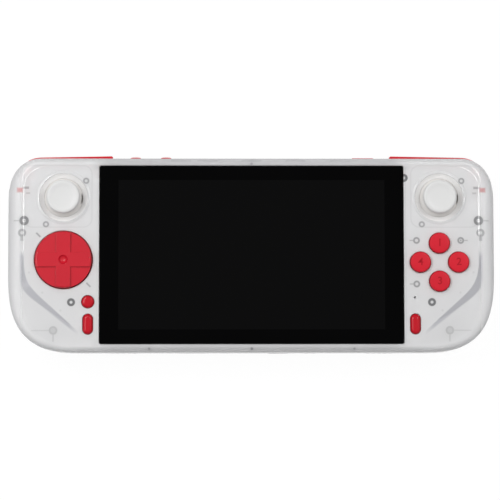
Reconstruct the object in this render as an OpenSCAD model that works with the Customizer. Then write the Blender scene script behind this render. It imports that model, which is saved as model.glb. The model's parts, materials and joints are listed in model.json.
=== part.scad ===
// Handheld game console: a wide screen between two control wings, in a translucent two-part case.
// Frame: X to the player's right, Y towards the shoulder buttons, Z out of the screen.
// It lies on its back: the flat pads of the grips are at Z = 0. All sizes in millimetres.

/* [Body] */
// Width of a control wing, beside the glass
wing_w = 42.5; // [40:0.5:48]
// Height of the case above and below the glass
rim_h = 3.9; // [3.5:0.05:7]
// Thickness from the front face to the back face, without the grips
body_t = 17.5; // [17.2:0.1:19]
// Depth of the front case from its face to the parting line
front_depth = 8.5; // [8.2:0.1:8.9]
// How far the grips stand out of the back
grip_depth = 8; // [6:0.5:10]
// Wall of both cases
wall = 1.8; // [1.6:0.1:2]
// Gap along the parting line
seam = 0.1; // [0.05:0.05:0.2]
// Upper corners, along the width
top_corner_w = 15.5; // [14:0.5:18]
// Upper corners, along the height
top_corner_h = 19.3; // [17:0.1:21]
// Lower corners, along the width
bottom_corner_w = 35.6; // [33:0.1:37]
// Lower corners, along the height
bottom_corner_h = 38.6; // [35:0.1:39]
// Squareness of the upper corners
top_square = 2.25; // [2:0.05:2.6]
// Squareness of the lower corners
bottom_square = 2.95; // [2.5:0.05:3.1]
// Front edge rounding across the sides
edge_side = 6.4; // [5:0.1:7]
// Front edge rounding across the top and the bottom
edge_top = 3; // [2.4:0.1:3.2]
// Height of the front edge rounding
edge_rise = 5; // [4:0.1:5.2]
// Slope of the creased lower corners, in degrees
crease_slope = 8; // [5:0.5:9]
// Slope of the small crease facet, in degrees
facet_slope = 21; // [18:1:30]
// Back edge rounding across the sides
back_side = 10; // [8:0.5:11]
// Back edge rounding across the top and the bottom
back_top = 4; // [3.5:0.1:5]
// Height of the back edge rounding
back_rise = 5; // [4:0.1:5.5]
// How far a grip starts behind the glass
grip_back = 5; // [3:0.5:7]

/* [Screen] */
// Width of the display panel
panel_w = 128; // [115:0.5:143]
// Height of the display panel
panel_h = 74; // [66:0.5:84]
// Border of the cover glass beside the panel
border_w = 5; // [4.4:0.1:6]
// Border of the cover glass above and below the panel
border_h = 3.85; // [3.2:0.05:4.5]
// Thickness of the cover glass
glass_t = 1.1; // [0.9:0.1:1.3]
// How far the glass stands out of the front face
glass_proud = 0.1; // [0:0.1:0.3]
// Thickness of the adhesive frame
tape_t = 0.2; // [0.15:0.05:0.3]
// Thickness of the display panel
panel_t = 1.8; // [1.5:0.1:2]
// Thickness of the support frame
frame_t = 1; // [0.8:0.1:1.2]

/* [Sticks] */
// Distance of the controls from the glass
control_in = 17; // [16.4:0.1:18]
// Distance of the stick centres from the top edge
stick_drop = 18.55; // [18.2:0.05:19]
// Diameter of the stick caps
cap_d = 15.4; // [14:0.1:15.8]
// Outer diameter of the raised ring around a stick
ring_d = 24.7; // [24:0.1:25.4]
// Diameter of the opening inside the ring
well_d = 19.5; // [19.2:0.1:20]
// Depth of the tilting centre below the front face
pivot_depth = 9.5; // [9.3:0.1:9.8]
// Height of the cap's rim above the tilting centre
cap_top = 14.8; // [14.6:0.1:15.4]
// Radius of the skirt under the cap
skirt_r = 12; // [11.8:0.1:12.1]

/* [Cross pad and buttons] */
// Distance of the cross pad's centre below the stick's
pad_pitch = 28.6; // [28:0.1:31]
// Diameter of the cross pad
pad_d = 26.3; // [25:0.1:26.8]
// Width of the raised cross
cross_w = 6.5; // [5.5:0.1:8]
// Distance of the face buttons' centre below the stick's
face_pitch = 29.7; // [29:0.1:31]
// Distance of a face button from their centre
face_spread = 8.75; // [8.6:0.05:9]
// Diameter of a face button
face_d = 9.4; // [8.8:0.1:9.6]
// Distance of the small buttons from the glass
small_in = 5.8; // [5.4:0.1:6.4]
// Distance of the small round button below the cross pad's centre
round_pitch = 19.2; // [18.8:0.1:20]
// Diameter of the small round button
round_d = 5.7; // [5:0.1:6]
// Distance of the pill buttons below the small round button
pill_pitch = 10.2; // [9.8:0.1:11]
// Distance of the pill buttons from the bottom edge
pill_edge = 12.95; // [12:0.05:14]
// Width of a pill button
pill_w = 4.6; // [4.2:0.1:5]
// Length of a pill button
pill_l = 9.2; // [8.4:0.1:9.6]
// How far the cross pad stands out of the front face
pad_rise = 2.2; // [1.8:0.1:2.6]
// How far the face buttons stand out of the front face
face_rise = 1.9; // [1.6:0.1:2.4]
// How far the small buttons stand out of the front face
small_rise = 1; // [0.8:0.1:1.3]
// Travel of a face button
face_travel = 1.2; // [0.8:0.1:1.3]
// Travel of a small button
small_travel = 0.6; // [0.4:0.1:0.7]
// Gap between a button and its hole
button_gap = 0.3; // [0.25:0.05:0.35]

/* [Edge controls] */
// How far the shoulder bars stand out of the top edge
bar_proud = 1.2; // [0.9:0.1:1.5]
// Height of a shoulder bar
bar_t = 5; // [4.6:0.1:5.1]
// How far a shoulder bar reaches behind the glass
bar_back = 5.4; // [4.6:0.1:6]
// Outer diameter of a trigger's ears
ear_d = 5; // [4.6:0.1:5.2]
// Diameter of the trigger pins
trigger_pin_d = 2; // [1.8:0.1:2.2]
// Distance of the volume rocker's middle from the side of the glass
rocker_in = 22.8; // [22.4:0.1:24]
// Length of the volume rocker
rocker_l = 18.9; // [18:0.1:19.4]
// Distance of the power button's middle from the side of the glass
power_in = 17.7; // [17.2:0.1:19]
// Length of the power button
power_l = 9.8; // [9:0.1:10.2]
// How far the rocker's bumps stand out of the top edge
bump_proud = 0.8; // [0.6:0.1:1]

/* [Inside] */
// Diameter of the case screws
screw_d = 2; // [1.8:0.1:2.2]
// Thickness of all circuit boards
board_t = 1; // [0.8:0.1:1.1]
// Width of the battery
battery_w = 62; // [56:1:63]
// Height of the battery
battery_h = 48; // [42:1:50]
// Thickness of the battery
battery_t = 5.6; // [5:0.1:5.8]
// Side of the fan housing
fan_w = 36; // [34:0.5:37]
// Thickness of the fan housing
fan_t = 5; // [4.6:0.1:5.2]
// Number of fan blades
blades = 21; // [15:2:27]
// Number of cooling fins
fins = 14; // [10:1:16]

/* [Hidden] */
$fn = 48;
tiny = 0.01;
over = 1;
glass_w = panel_w + 2 * border_w;
glass_h = panel_h + 2 * border_h;
side_x = glass_w / 2;
body_w = glass_w + 2 * wing_w;
// The taller of the screen and the column of controls sets the height of the case
body_h = max(glass_h + 2 * rim_h, stick_drop + pad_pitch + round_pitch + pill_pitch + pill_edge);
half_w = body_w / 2;
half_h = body_h / 2;
wing_x = side_x + control_in;
stick_y = half_h - stick_drop;
pad_y = stick_y - pad_pitch;
face_y = stick_y - face_pitch;
small_x = side_x + small_in;
round_y = pad_y - round_pitch;
pill_y = round_y - pill_pitch;
bar_end = side_x - bar_back;
rocker_x = side_x - rocker_in;
power_x = side_x - power_in;
grip_start = side_x - grip_back;
body_y = -bar_proud / 2;
z_rear = grip_depth;
z_front = grip_depth + body_t;
z_split = z_front - front_depth;
z_rim = z_split - seam;
front_in = z_front - wall;
rear_in = z_rear + wall;
side_top = z_front - edge_rise;
side_low = z_rear + back_rise;

// Points along each corner and along the straight edges
corner_steps = 14;
long_steps = 13;
side_steps = 4;
arc_steps = 5;

// Flat rim between the rounded edge and the plateau of the front face
rim_flat = 0.9;
plateau_side = edge_side + rim_flat;
plateau_top = edge_top + rim_flat;
crease_h = 32.25;
crease_l = 14.2;
crease_side = 4;
crease_bend = [half_w - plateau_side, crease_h - half_h];
crease_foot = [side_x + crease_side, plateau_top - half_h];
bend_reach = 9;
foot_reach = 10;
crease_start = crease_bend + [0, crease_l];
crease_end = crease_bend + 0.75 * (crease_foot - crease_bend);
crease_line = crease_end - crease_start;
crease_out = [-crease_line[1], crease_line[0]] / norm(crease_line);

// Grip: full depth is reached grip_blend outwards of grip_start
grip_blend = 20;
grip_low = 0.75 - half_h;
grip_low_blend = 16;
grip_high = half_h - 13.75;
grip_high_blend = 20;
back_rings = [2.5, 6, 11, 17, 23, 29, 36];

// Screen stack, from the pocket down
pocket_gap = 0.2;
glass_r = 0.9;
pocket_z = z_front + glass_proud - glass_t - tape_t;
ledge_t = 1.6;
lip_w = 1.7;
window_gap = 0.6;
glue_t = 0.1;
panel_top = pocket_z + tape_t - glue_t;
panel_low = panel_top - panel_t;
rest_gap = 0.2;
frame_top = panel_low - rest_gap;
frame_low = frame_top - frame_t;
frame_w = panel_w + 8;
frame_h = panel_h + 4.4;
frame_r = 3;
standoff_h = 3;
standoff_r = 2.2;
board_top = frame_low - standoff_h;
board_low = board_top - board_t;
main_w = panel_w - 4;
main_y0 = 8.75 - half_h;
main_y1 = half_h - 6.25;
tongue_w = 80;
tongue_in = 3.4;
board_screw_in = 8;
board_screw_x = panel_w / 2 - board_screw_in;
board_screws = [[-board_screw_x, panel_h / 2 - 6], [board_screw_x, panel_h / 2 - 4],
    [-board_screw_x, 7 - panel_h / 2], [board_screw_x, 7 - panel_h / 2]];
frame_screw_in = [2, 6];
frame_opening = [18, 30];
flex_w = 22;
flex_t = 0.25;
flex_in = 6;
flex_lap = [8, 5];
flex_slot = [2, 9];

// Screws: case screws large and small, then the inner ones
post_r = 3.1;
plate_w = 26.6;
post_gap = 1.6;
post_corner = [20.9, 10.15];
post_large = [[wing_x + plate_w / 2 + post_gap + post_r, stick_y - 10.6],
    [half_w - post_corner[0], post_corner[1] - half_h]];
rim_post = 3.45;
rim_post_side = side_x - 22.2;
post_small = [[0, half_h - rim_post], [0, rim_post - half_h], [rim_post_side, rim_post - half_h],
    [-rim_post_side, rim_post - half_h]];
screw_r = screw_d / 2;
thread_gap = 0.05;
head_r = 1.9;
head_t = 1.4;
head_gap = 0.3;
seat_z = rear_in + 1;
tip_z = front_in - 1.6;
small_r = 0.7;
small_head_r = 1.15;
small_post_r = 1.75;
pin_side = [post_large[0][0] + 0.9, post_large[0][1] - 6.3];
pin_r = 1.3;
rib_t = 1;
rib_l = [9, 14];
rib_drop = 2;
guide_rib = [3.4, 0.8];
tick = [0.5, 3];
tip_gap = 0.3;

// Control boards under the buttons
control_depth = 5.2;
control_top = front_in - control_depth;
control_low = control_top - board_t;
board_inset = 4.6;
board_inner = side_x + 2.6;
board_upper = stick_y - 14.2;
control_screw = [wing_x - 3.2, pad_y - 19.1];
ribbon_w = 14;
ribbon_y = -12;
ribbon_lap = 5;
boss_r = 2;
inner_screw_r = 0.8;
inner_head_r = 1.5;
inner_head_t = 1.1;
seat_gap = 0.05;

// Stick module
pivot_z = z_front - pivot_depth;
stick_screws = [[10.3, 7.3], [-8, -12.7]];
plate_top = front_in - 0.7;
plate_t = 1;
module_w = 17;
module_low = pivot_z - 5.5;
module_top = pivot_z + 1.8;
module_wall = 1.3;
strut_x = 11.6;
strut_w = 11;
axle_r = 1.1;
shaft_r = 1.6;
cross_pin_r = 0.8;
run_gap = 0.05;
skirt_t = 1.2;
skirt_low = 6.4;
skirt_gap = 0.5;
click = 0.4;
shaft_top = 10.6;
ring_rise = 0.5;
ring_crest = 1.35;
well_drop = 2.1;
yoke_w = 9;
yoke_d = 7;
yoke_t = 3.4;
plate_hole_r = skirt_r - 0.9;

// Cross pad on its ball
ball_r = 2.4;
ball_z = control_top + ball_r + 0.1;
cup_gap = 0.06;
pad_hole_r = pad_d / 2 + 0.6;
pad_flange_r = pad_d / 2 + 1.4;
pad_flange_t = 1.1;
pad_edge = 0.9;
cross_step = 0.45;
quarter_tilt = 2.2;
dimple_r = 3;
dimple_depth = 0.8;
sheet_t = 0.6;
dome_t = 0.6;
dome_r = 2.3;
pad_dome_ring = 9.5;
pad_sheet_r = pad_dome_ring + dome_r + 1.4;

// Buttons
flange_gap = 0.3;
flange_t = 1.1;
flange_w = 1;
face_low = control_top + sheet_t + dome_t + face_travel + 0.15;
small_low = control_top + sheet_t + dome_t + small_travel + 0.15;
edge_r = 0.7;
face_crown = 0.12;
pill_crown = 0.08;
small_sheet = [2.6, 3];
guide_r = 1.7;
guide_pins = [[-10.5, 10], [9.8, 10], [-10.5, -10]];
sound_hole = [small_x - 0.2, round_y + 2];
sound_hole_r = 0.55;

// Shoulder bars, swept along the outline
bar_low = z_split - 1.4;
bar_top = bar_low + bar_t;
bar_in = 4.2;
bar_gap = 0.4;
bar_turn = 28;
bar_steps = 6;
notch_turn = 7;
bar_pin = [bar_end - 2, half_h - 3.9];
bar_pin_r = 0.8;
bar_ear = 3.2;
bar_round = 1.2;
bar_soft = 0.8;
bar_taper = 3;
notch_in = 7;

// Triggers
ear_r = ear_d / 2;
trigger_pin_r = trigger_pin_d / 2;
hinge_y = half_h - 14.75;
hinge_z = rear_in + 2.9;
trigger_end = side_x - 3;
trigger_gap = 0.5;
notch_y = half_h - 9.35;
ear_outer = wing_x + 16;
ear_t = 2.6;
ear_inner = side_x - 1.6;
paddle_reach = half_h + 0.6;
// Side view of a trigger: distance in from its face and down from its top, round the free end
paddle_curve = [[1, 4], [0.3, 4.4], [0, 5], [0.3, 7], [1.1, 9.5], [1.5, 11.5], [1.2, 12.8], [1.8, 13.6],
    [2.8, 13.4], [4.2, 11.8], [5.6, 9], [8, 6.4]];
ear_arm = [2.4, 2, 0.4];
paddle_root = [1.9, 5.8];
outer_pin_end = wing_x + 13;
trigger_steps = 24;
post_t = 2.2;
coil_r = 1.75;
wire_r = 0.25;
coil_pitch = 1;
coil_turns = 2.25;
coil_rings = 16;
leg_l = 5.6;
leg_rise = 2.6;
wire_sides = 6;
coil_start = ear_outer - 0.6;

// Keys in the top edge
key_z = z_split + 1.75;
key_t = 2.4;
key_gap = 0.3;
key_in = 2.7;
key_flange = 1;
key_flange_w = 0.9;
key_lap = 0.3;
key_lip = [0.5, 0.3];
bump_l = 4.9;
power_proud = 0.35;
key_travel = 0.4;
pivot_r = 0.5;
pivot_l = 1.2;
pivot_boss_r = 1.1;
switch_d = 2.4;
bar_switch = [9, 12.2];
bar_switch_gap = 0.75;
switch_h = 2;
plunger_r = 0.7;

// Vents, ports and sound slots
vent_x = [-32.3, -20.2, 20.2, 40.7];
vent_w = 8;
vent_bars = 3;
vent_low = z_rear + 3.6;
vent_h = 4.2;
port_z = board_low - 1.8;
usb_x = 12;
usb_w = 9;
usb_h = 3.2;
usb_l = 7.4;
usb_wall = 0.3;
jack_x = 27;
jack_z = z_split - 3;
jack_w = 6.6;
jack_h = 5.8;
jack_l = 12;
jack_in = 1;
jack_r = 1.8;
jack_hole_r = 2.5;
card_x = -27;
card_w = 13.6;
card_h = 1.6;
card_l = 14;
card_slot_w = 11.6;
card_slot_h = 0.9;
card_z = board_low - seat_gap - card_h / 2;
port_gap = 0.3;
port_in = 1;
speaker_x = side_x - 9;
speaker_w = 18;
speaker_d = 6;
speaker_h = 4.4;
speaker_z = side_low - 0.9;
speaker_rim = 0.8;
slot_l = 2.6;
slot_w = 1.2;
sound_slots = 5;

// Cooling
fan_x = 37;
fan_y = half_h - 34.75;
fan_z = rear_in + 0.3;
fan_wall = 0.8;
fan_cavity_r = 0.45 * fan_w;
fan_inlet_r = 0.32 * fan_w;
rotor_gap = 0.6;
hub_r = 6;
spindle_r = 1;
blade_t = 0.6;
chip_t = 1.4;
chip_x = 10;
chip_y = 6;
chips = [[chip_x, chip_y, 12], [chip_x, chip_y - 14, 9], [chip_x, chip_y + 13, 8]];
spreader = [13, 16];
spread_t = 1;
fin_x = fan_x;
fin_w = 32;
fin_d = 8;
fin_t = 0.4;
fin_h = 4;
fin_y = fan_y + fan_w / 2 + 0.3;
pipe_w = 5;
pipe_t = 1.6;
battery_x = -33;
battery_y = 0;
rib_b = 1.5;
rib_gap = 0.3;
intake_slots = 6;
intake_pitch = 4.2;
intake_w = 1.8;
intake_l = 22;

clear_plastic = [0.85, 0.86, 0.87];
red_plastic = [0.74, 0.13, 0.18];
white_plastic = [0.92, 0.92, 0.91];
black_glass = [0.02, 0.02, 0.02];
dark_panel = [0.04, 0.04, 0.045];
steel = [0.62, 0.63, 0.65];
board_white = [0.78, 0.79, 0.78];
rubber = [0.78, 0.79, 0.8];
copper = [0.72, 0.43, 0.28];
dark_plastic = [0.12, 0.12, 0.13];
flex_brown = [0.45, 0.27, 0.1];
pouch_grey = [0.35, 0.36, 0.38];

function mix(a, b, t) = a + (b - a) * t;
function smooth(t) = let (c = min(max(t, 0), 1)) c * c * (3 - 2 * c);
function unit(v) = v / norm(v);
function bend(a, b, c, t) = mix(mix(a, b, t), mix(b, c, t), t);
function flip(list) = [for (j = [len(list) - 1 : -1 : 0]) list[j]];
function arc(cx, cy, r, a0, a1, n) =
    [for (j = [0 : n]) let (a = a0 + (a1 - a0) * j / n) [cx + r * cos(a), cy + r * sin(a)]];
function lift(points, z) = [for (p = points) [p[0], p[1], z]];
function between(a, b, n) = [for (j = [1 : n]) mix(a, b, j / (n + 1))];

// One point of a corner: phi is 0 at the side and 90 at the top or the bottom
function corner_point(sx, sy, phi, ix, iy) =
    let (power = 2 / (sy > 0 ? top_square : bottom_square),
        ax = max((sy > 0 ? top_corner_w : bottom_corner_w) - ix, 0.4),
        ay = max((sy > 0 ? top_corner_h : bottom_corner_h) - iy, 0.4))
    [sx * (half_w - ix - ax + ax * pow(cos(phi), power)),
        sy * (half_h - iy - ay + ay * pow(sin(phi), power))];
function corner(sx, sy, from, to, ix, iy) =
    [for (j = [0 : corner_steps]) corner_point(sx, sy, mix(from, to, j / corner_steps), ix, iy)];
function closed(tr, tl, bl, br) = concat(
    tr, between(tr[corner_steps], tl[0], long_steps),
    tl, between(tl[corner_steps], bl[0], side_steps),
    bl, between(bl[corner_steps], br[0], long_steps),
    br, between(br[corner_steps], tr[0], side_steps));
// The case outline, drawn in by ix at the sides and by iy at the top and the bottom
function outline(ix, iy) = closed(corner(1, 1, 0, 90, ix, iy), corner(-1, 1, 90, 0, ix, iy),
    corner(-1, -1, 0, 90, ix, iy), corner(1, -1, 90, 0, ix, iy));

// Plateau of the front face: its lower corners are cut off along the crease
function crease_corner(sx, in) =
    let (b = crease_bend - [in, 0], c = crease_foot + [0, in], d = unit(c - b),
        half = floor(corner_steps / 2))
    [for (j = [0 : corner_steps]) let (p = j <= half
        ? bend(b + [0, bend_reach], b, b + bend_reach * d, j / half)
        : bend(c - foot_reach * d, c, c - [foot_reach, 0], (j - half - 1) / (corner_steps - half - 1)))
        [sx * p[0], p[1]]];
function plateau(in) = closed(
    corner(1, 1, 0, 90, plateau_side + in, plateau_top + in),
    corner(-1, 1, 90, 0, plateau_side + in, plateau_top + in),
    crease_corner(-1, in), flip(crease_corner(1, in)));
// How far the front face has dropped at a point outside the crease
function drop(p) = tan(crease_slope) * max(0, ([abs(p[0]), p[1]] - crease_start) * crease_out);

// Rings of the front face from the parting line up: side, rounded edge, crease, plateau
function front_rings(in, low) =
    let (edge = outline(in + edge_side, in + edge_top), top = plateau(in),
        reach = tan(facet_slope) - tan(crease_slope))
    concat([lift(outline(in, in), low)],
        [for (k = [0 : arc_steps]) let (a = 90 * k / arc_steps,
            ring = outline(in + edge_side * (1 - cos(a)), in + edge_top * (1 - cos(a))))
            [for (j = [0 : len(ring) - 1])
                [ring[j][0], ring[j][1], mix(side_top, z_front - in - drop(edge[j]), sin(a))]]],
        [[for (j = [0 : len(top) - 1])
            let (p = top[j] + unit(edge[j] - top[j]) * max(0.4 * rim_flat, drop(top[j]) / reach))
            [p[0], p[1], z_front - in - drop(p)]]],
        [lift(top, z_front - in)]);

function grip(p) = grip_depth * smooth((abs(p[0]) - grip_start) / grip_blend)
    * smooth((p[1] - grip_low) / grip_low_blend) * smooth((grip_high - p[1]) / grip_high_blend);
// Rings of the back from the middle of the back face up to the parting line
function rear_rings(in, high) =
    let (foot = outline(in + back_side, in + back_top))
    concat(
        [for (d = flip(back_rings)) [for (p = outline(in + back_side + d, in + back_top + d))
            [p[0], p[1], z_rear + in - grip(p)]]],
        [for (k = [arc_steps : -1 : 0]) let (a = 90 * k / arc_steps,
            ring = outline(in + back_side * (1 - cos(a)), in + back_top * (1 - cos(a))))
            [for (j = [0 : len(ring) - 1])
                [ring[j][0], ring[j][1], mix(side_low, z_rear + in - grip(foot[j]), sin(a))]]],
        [lift(outline(in, in), high)]);

// Solid through a stack of rings, closed by a fan at each end
module loft(rings, low, high) {
    n = len(rings[0]);
    m = len(rings);
    points = concat([for (r = rings) for (p = r) p], [low, high]);
    polyhedron(points, concat(
        [for (j = [0 : n - 1]) [m * n, j, (j + 1) % n]],
        [for (k = [0 : m - 2], j = [0 : n - 1]) [k * n + j, (k + 1) * n + j, (k + 1) * n + (j + 1) % n]],
        [for (k = [0 : m - 2], j = [0 : n - 1]) [k * n + j, (k + 1) * n + (j + 1) % n, k * n + (j + 1) % n]],
        [for (j = [0 : n - 1]) [m * n + 1, (m - 1) * n + (j + 1) % n, (m - 1) * n + j]]));
}

// Tube of the given sections, closed by a fan at each end
module tube(sections) {
    loft(sections, centre(sections[0]), centre(sections[len(sections) - 1]));
}
function centre(points) = [for (i = [0 : 2]) sum([for (p = points) p[i]]) / len(points)];
function sum(list) = [for (v = list) 1] * list;

module in_frame() {
    translate([0, body_y, 0])
        children();
}
module both_sides() {
    children();
    mirror([1, 0, 0])
        children();
}
module block(x0, x1, y0, y1, z0, z1) {
    translate([x0, y0, z0])
        cube([x1 - x0, y1 - y0, z1 - z0]);
}
module rod(p, r, z0, z1) {
    translate([p[0], p[1], z0])
        cylinder(r = r, h = z1 - z0);
}
module rod_x(y, z, r, x0, x1) {
    translate([x0, y, z])
        rotate([0, 90, 0])
            cylinder(r = r, h = x1 - x0);
}
module rod_y(x, z, r, y0, y1) {
    translate([x, y0, z])
        rotate([-90, 0, 0])
            cylinder(r = r, h = y1 - y0);
}
function rounded(w, h, r) = concat(
    arc(w / 2 - r, h / 2 - r, r, 0, 90, 4), arc(r - w / 2, h / 2 - r, r, 90, 180, 4),
    arc(r - w / 2, r - h / 2, r, 180, 270, 4), arc(w / 2 - r, r - h / 2, r, 270, 360, 4));
module plate(w, h, r, z0, z1) {
    translate([0, 0, z0])
        linear_extrude(z1 - z0)
            polygon(rounded(w, h, r));
}
// Upright pill with flat sides
module pill(w, l, z0, z1) {
    rod([0, (l - w) / 2], w / 2, z0, z1);
    rod([0, (w - l) / 2], w / 2, z0, z1);
    block(-w / 2, w / 2, (w - l) / 2, (l - w) / 2, z0, z1);
}

// Every case post, in its place on either side
module at_large_posts() {
    for (p = post_large)
        for (s = [-1, 1])
            translate([s * p[0], p[1], 0])
                children();
}
module at_small_posts() {
    for (p = post_small)
        translate([p[0], p[1], 0])
            children();
}
module at_sticks() {
    for (s = [-1, 1])
        translate([s * wing_x, stick_y, 0])
            children();
}
module at_stick_screws() {
    at_sticks()
        for (p = stick_screws)
            translate([p[0], p[1], 0])
                children();
}

// Space of the left shoulder bar in both cases
module bar_notch() {
    steps = bar_steps + 1;
    low = bar_low - bar_gap;
    turn = bar_turn + notch_turn;
    outer = [for (j = [0 : steps]) corner_point(-1, 1, 90 - turn * j / steps, -4, -4)];
    inner = [for (j = [0 : steps]) corner_point(-1, 1, 90 - turn * j / steps, notch_in, notch_in)];
    translate([0, 0, low])
        linear_extrude(bar_t + 2 * bar_gap)
            polygon(concat([[-bar_end + bar_gap, half_h - notch_in], [-bar_end + bar_gap, half_h + 4]],
                outer, flip(inner)));
}
module key_slot(x, l) {
    block(x - l / 2 - key_gap, x + l / 2 + key_gap, half_h - notch_in, half_h + over,
        key_z - key_t / 2 - key_gap, key_z + key_t / 2 + key_gap);
}
module vents() {
    gap = vent_w / (vent_bars + 1);
    for (x = vent_x)
        for (j = [0 : vent_bars])
            translate([x - vent_w / 2 + gap * j, half_h - 2 * back_top, vent_low])
                cube([gap * 0.62, 2 * back_top + over, vent_h]);
}
// Openings for the ports in the bottom edge
module port_holes() {
    translate([usb_x, over + wall - half_h, port_z])
        rotate([90, 0, 0])
            linear_extrude(wall + 2 * over)
                polygon(rounded(usb_w + 2 * port_gap, usb_h + 2 * port_gap, 1.8));
    block(card_x - card_slot_w / 2 - port_gap, card_x + card_slot_w / 2 + port_gap, -half_h - over,
        port_in - half_h + over, card_z - card_slot_h / 2 - port_gap, card_z + card_slot_h / 2 + port_gap);
    rod_y(jack_x, jack_z, jack_hole_r, -half_h - over, over - half_h + wall);
}
module sound_slots() {
    for (j = [0 : sound_slots - 1])
        translate([speaker_x - speaker_w / 2 + slot_l * (j + 0.75), -half_h - over, speaker_z + speaker_rim])
            cube([slot_w, over + 2 * wall, speaker_h - 2 * speaker_rim]);
}

// Rib from a post towards the side s
module rib(s, l, t, low) {
    block(s > 0 ? 0 : -l, s > 0 ? l : 0, -t / 2, t / 2, low, z_front);
}
module front_features() {
    plate(glass_w + 2 * lip_w, glass_h + 2 * lip_w, glass_r + lip_w, pocket_z - ledge_t, z_front);
    at_sticks()
        rod([0, 0], ring_d / 2 + 0.4, plate_top + skirt_gap, z_front);
    at_large_posts()
        rod([0, 0], post_r, z_split - over, z_front);
    at_small_posts()
        rod([0, 0], small_post_r, z_split - over, z_front);
    rod([-rocker_x, half_h - key_in], pivot_boss_r, key_z + key_t / 2 + 0.5, z_front);
    at_stick_screws()
        rod([0, 0], boss_r, plate_top + seat_gap, z_front);
    for (s = [-1, 1]) {
        rod([s * control_screw[0], control_screw[1]], boss_r, control_top + seat_gap, z_front);
        rod([s * pin_side[0], pin_side[1]], pin_r, z_split, z_front);
        translate([s * post_large[1][0], post_large[1][1], 0])
            for (a = [0, 90])
                rotate(-a * s)
                    rib(s, rib_l[1], rib_t, z_split + rib_drop);
        translate([s * post_large[0][0], post_large[0][1], 0])
            rib(s, rib_l[0], rib_t, z_split + rib_drop);
    }
    for (p = guide_pins)
        translate([wing_x + p[0], face_y + p[1], 0]) {
            rod([0, 0], guide_r, control_top + seat_gap, z_front);
            rib(p[0], guide_rib[0], guide_rib[1], control_top + rib_drop);
        }
    for (a = [135, 315])
        translate([-wing_x, pad_y, 0])
            rotate(a)
                block(pad_flange_r + tick[0], pad_flange_r + tick[1], -rib_t / 2, rib_t / 2, control_top + 1,
                    z_front);
}
module front_cuts() {
    plate(glass_w + 2 * pocket_gap, glass_h + 2 * pocket_gap, glass_r, pocket_z, z_front + over);
    plate(panel_w + 2 * window_gap, panel_h + 2 * window_gap, glass_r, z_split, z_front + over);
    at_sticks() {
        rod([0, 0], well_d / 2, z_split, z_front + over);
        translate([0, 0, z_front + ring_rise - well_drop])
            cylinder(r1 = well_d / 2, r2 = ring_d / 2 - ring_crest, h = well_drop + tiny);
    }
    translate([-wing_x, pad_y, 0])
        rod([0, 0], pad_hole_r, z_split, z_front + over);
    for (a = [0 : 90 : 270])
        translate([wing_x, face_y, 0])
            rotate(a)
                rod([face_spread, 0], face_d / 2 + button_gap, z_split, z_front + over);
    rod([-small_x, round_y], round_d / 2 + button_gap, z_split, z_front + over);
    for (s = [-1, 1])
        translate([s * small_x, pill_y, 0])
            pill(pill_w + 2 * button_gap, pill_l + 2 * button_gap, z_split, z_front + over);
    rod(sound_hole, sound_hole_r, z_split, z_front + over);
    at_large_posts()
        rod([0, 0], screw_r + thread_gap, z_split - over, tip_z + tip_gap);
    at_small_posts()
        rod([0, 0], small_r + thread_gap, z_split - over, pocket_z - ledge_t + tip_gap);
    at_stick_screws()
        rod([0, 0], inner_screw_r + thread_gap, z_split, z_front - 0.8);
    for (s = [-1, 1])
        rod([s * control_screw[0], control_screw[1]], inner_screw_r + thread_gap, z_split, front_in - 0.5);
    for (p = guide_pins)
        rod([wing_x + p[0], face_y + p[1]], inner_screw_r, z_split, front_in - 0.5);
    at_frame_screws()
        rod([0, 0], inner_screw_r + thread_gap, z_split, pocket_z - 0.5);
    both_sides()
        bar_notch();
    key_slot(-rocker_x, rocker_l);
    rod([-rocker_x, half_h - key_in], pivot_r + run_gap, key_z, key_z + key_t / 2 + pivot_l + 0.2);
    key_slot(power_x, power_l);
    port_holes();
}
module stick_ring() {
    outer = ring_d / 2;
    rotate_extrude()
        polygon([[well_d / 2 - tiny, z_front - over], [outer, z_front - over], [outer, z_front + 0.05],
            [outer - 0.35, z_front + 0.35], [outer - 0.8, z_front + ring_rise - 0.04],
            [outer - ring_crest, z_front + ring_rise], [well_d / 2 - tiny, z_front + ring_rise]]);
}
// Front case: creased face, window ledge, stick wells, posts and pins
module front_shell() {
    in_frame()
        color(clear_plastic, 0.6)
            difference() {
                union() {
                    loft(front_rings(0, z_split), [0, 0, z_split], [0, 0, z_front]);
                    at_sticks()
                        stick_ring();
                }
                difference() {
                    loft(front_rings(wall, z_split - over), [0, 0, z_split - over], [0, 0, front_in]);
                    front_features();
                }
                front_cuts();
            }
}

module trigger_posts() {
    block(-ear_outer - ear_t - 0.3 - post_t, -ear_outer - ear_t - 0.3, hinge_y - ear_r, hinge_y + ear_r,
        -over, hinge_z + ear_r);
    for (x = [ear_inner - 0.3 - post_t, ear_inner + ear_t + 0.3])
        block(-x - post_t, -x, hinge_y - ear_r, hinge_y + ear_r, -over, hinge_z + ear_r);
}
module rear_features() {
    at_large_posts()
        rod([0, 0], post_r, -over, z_split + over);
    at_small_posts()
        rod([0, 0], small_post_r, -over, z_split + over);
    both_sides() {
        trigger_posts();
        rod([-bar_pin[0], bar_pin[1]], bar_pin_r + 1.2, -over, bar_low - bar_gap);
    }
    for (y = [battery_y - battery_h / 2 - rib_gap - rib_b, battery_y + battery_h / 2 + rib_gap])
        block(battery_x - battery_w / 3, battery_x + battery_w / 3, y, y + rib_b, -over, rear_in + 3);
    for (x = [battery_x - battery_w / 2 - rib_gap - rib_b, battery_x + battery_w / 2 + rib_gap])
        block(x, x + rib_b, battery_y - battery_h / 3, battery_y + battery_h / 3, -over, rear_in + 3);
}
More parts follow.
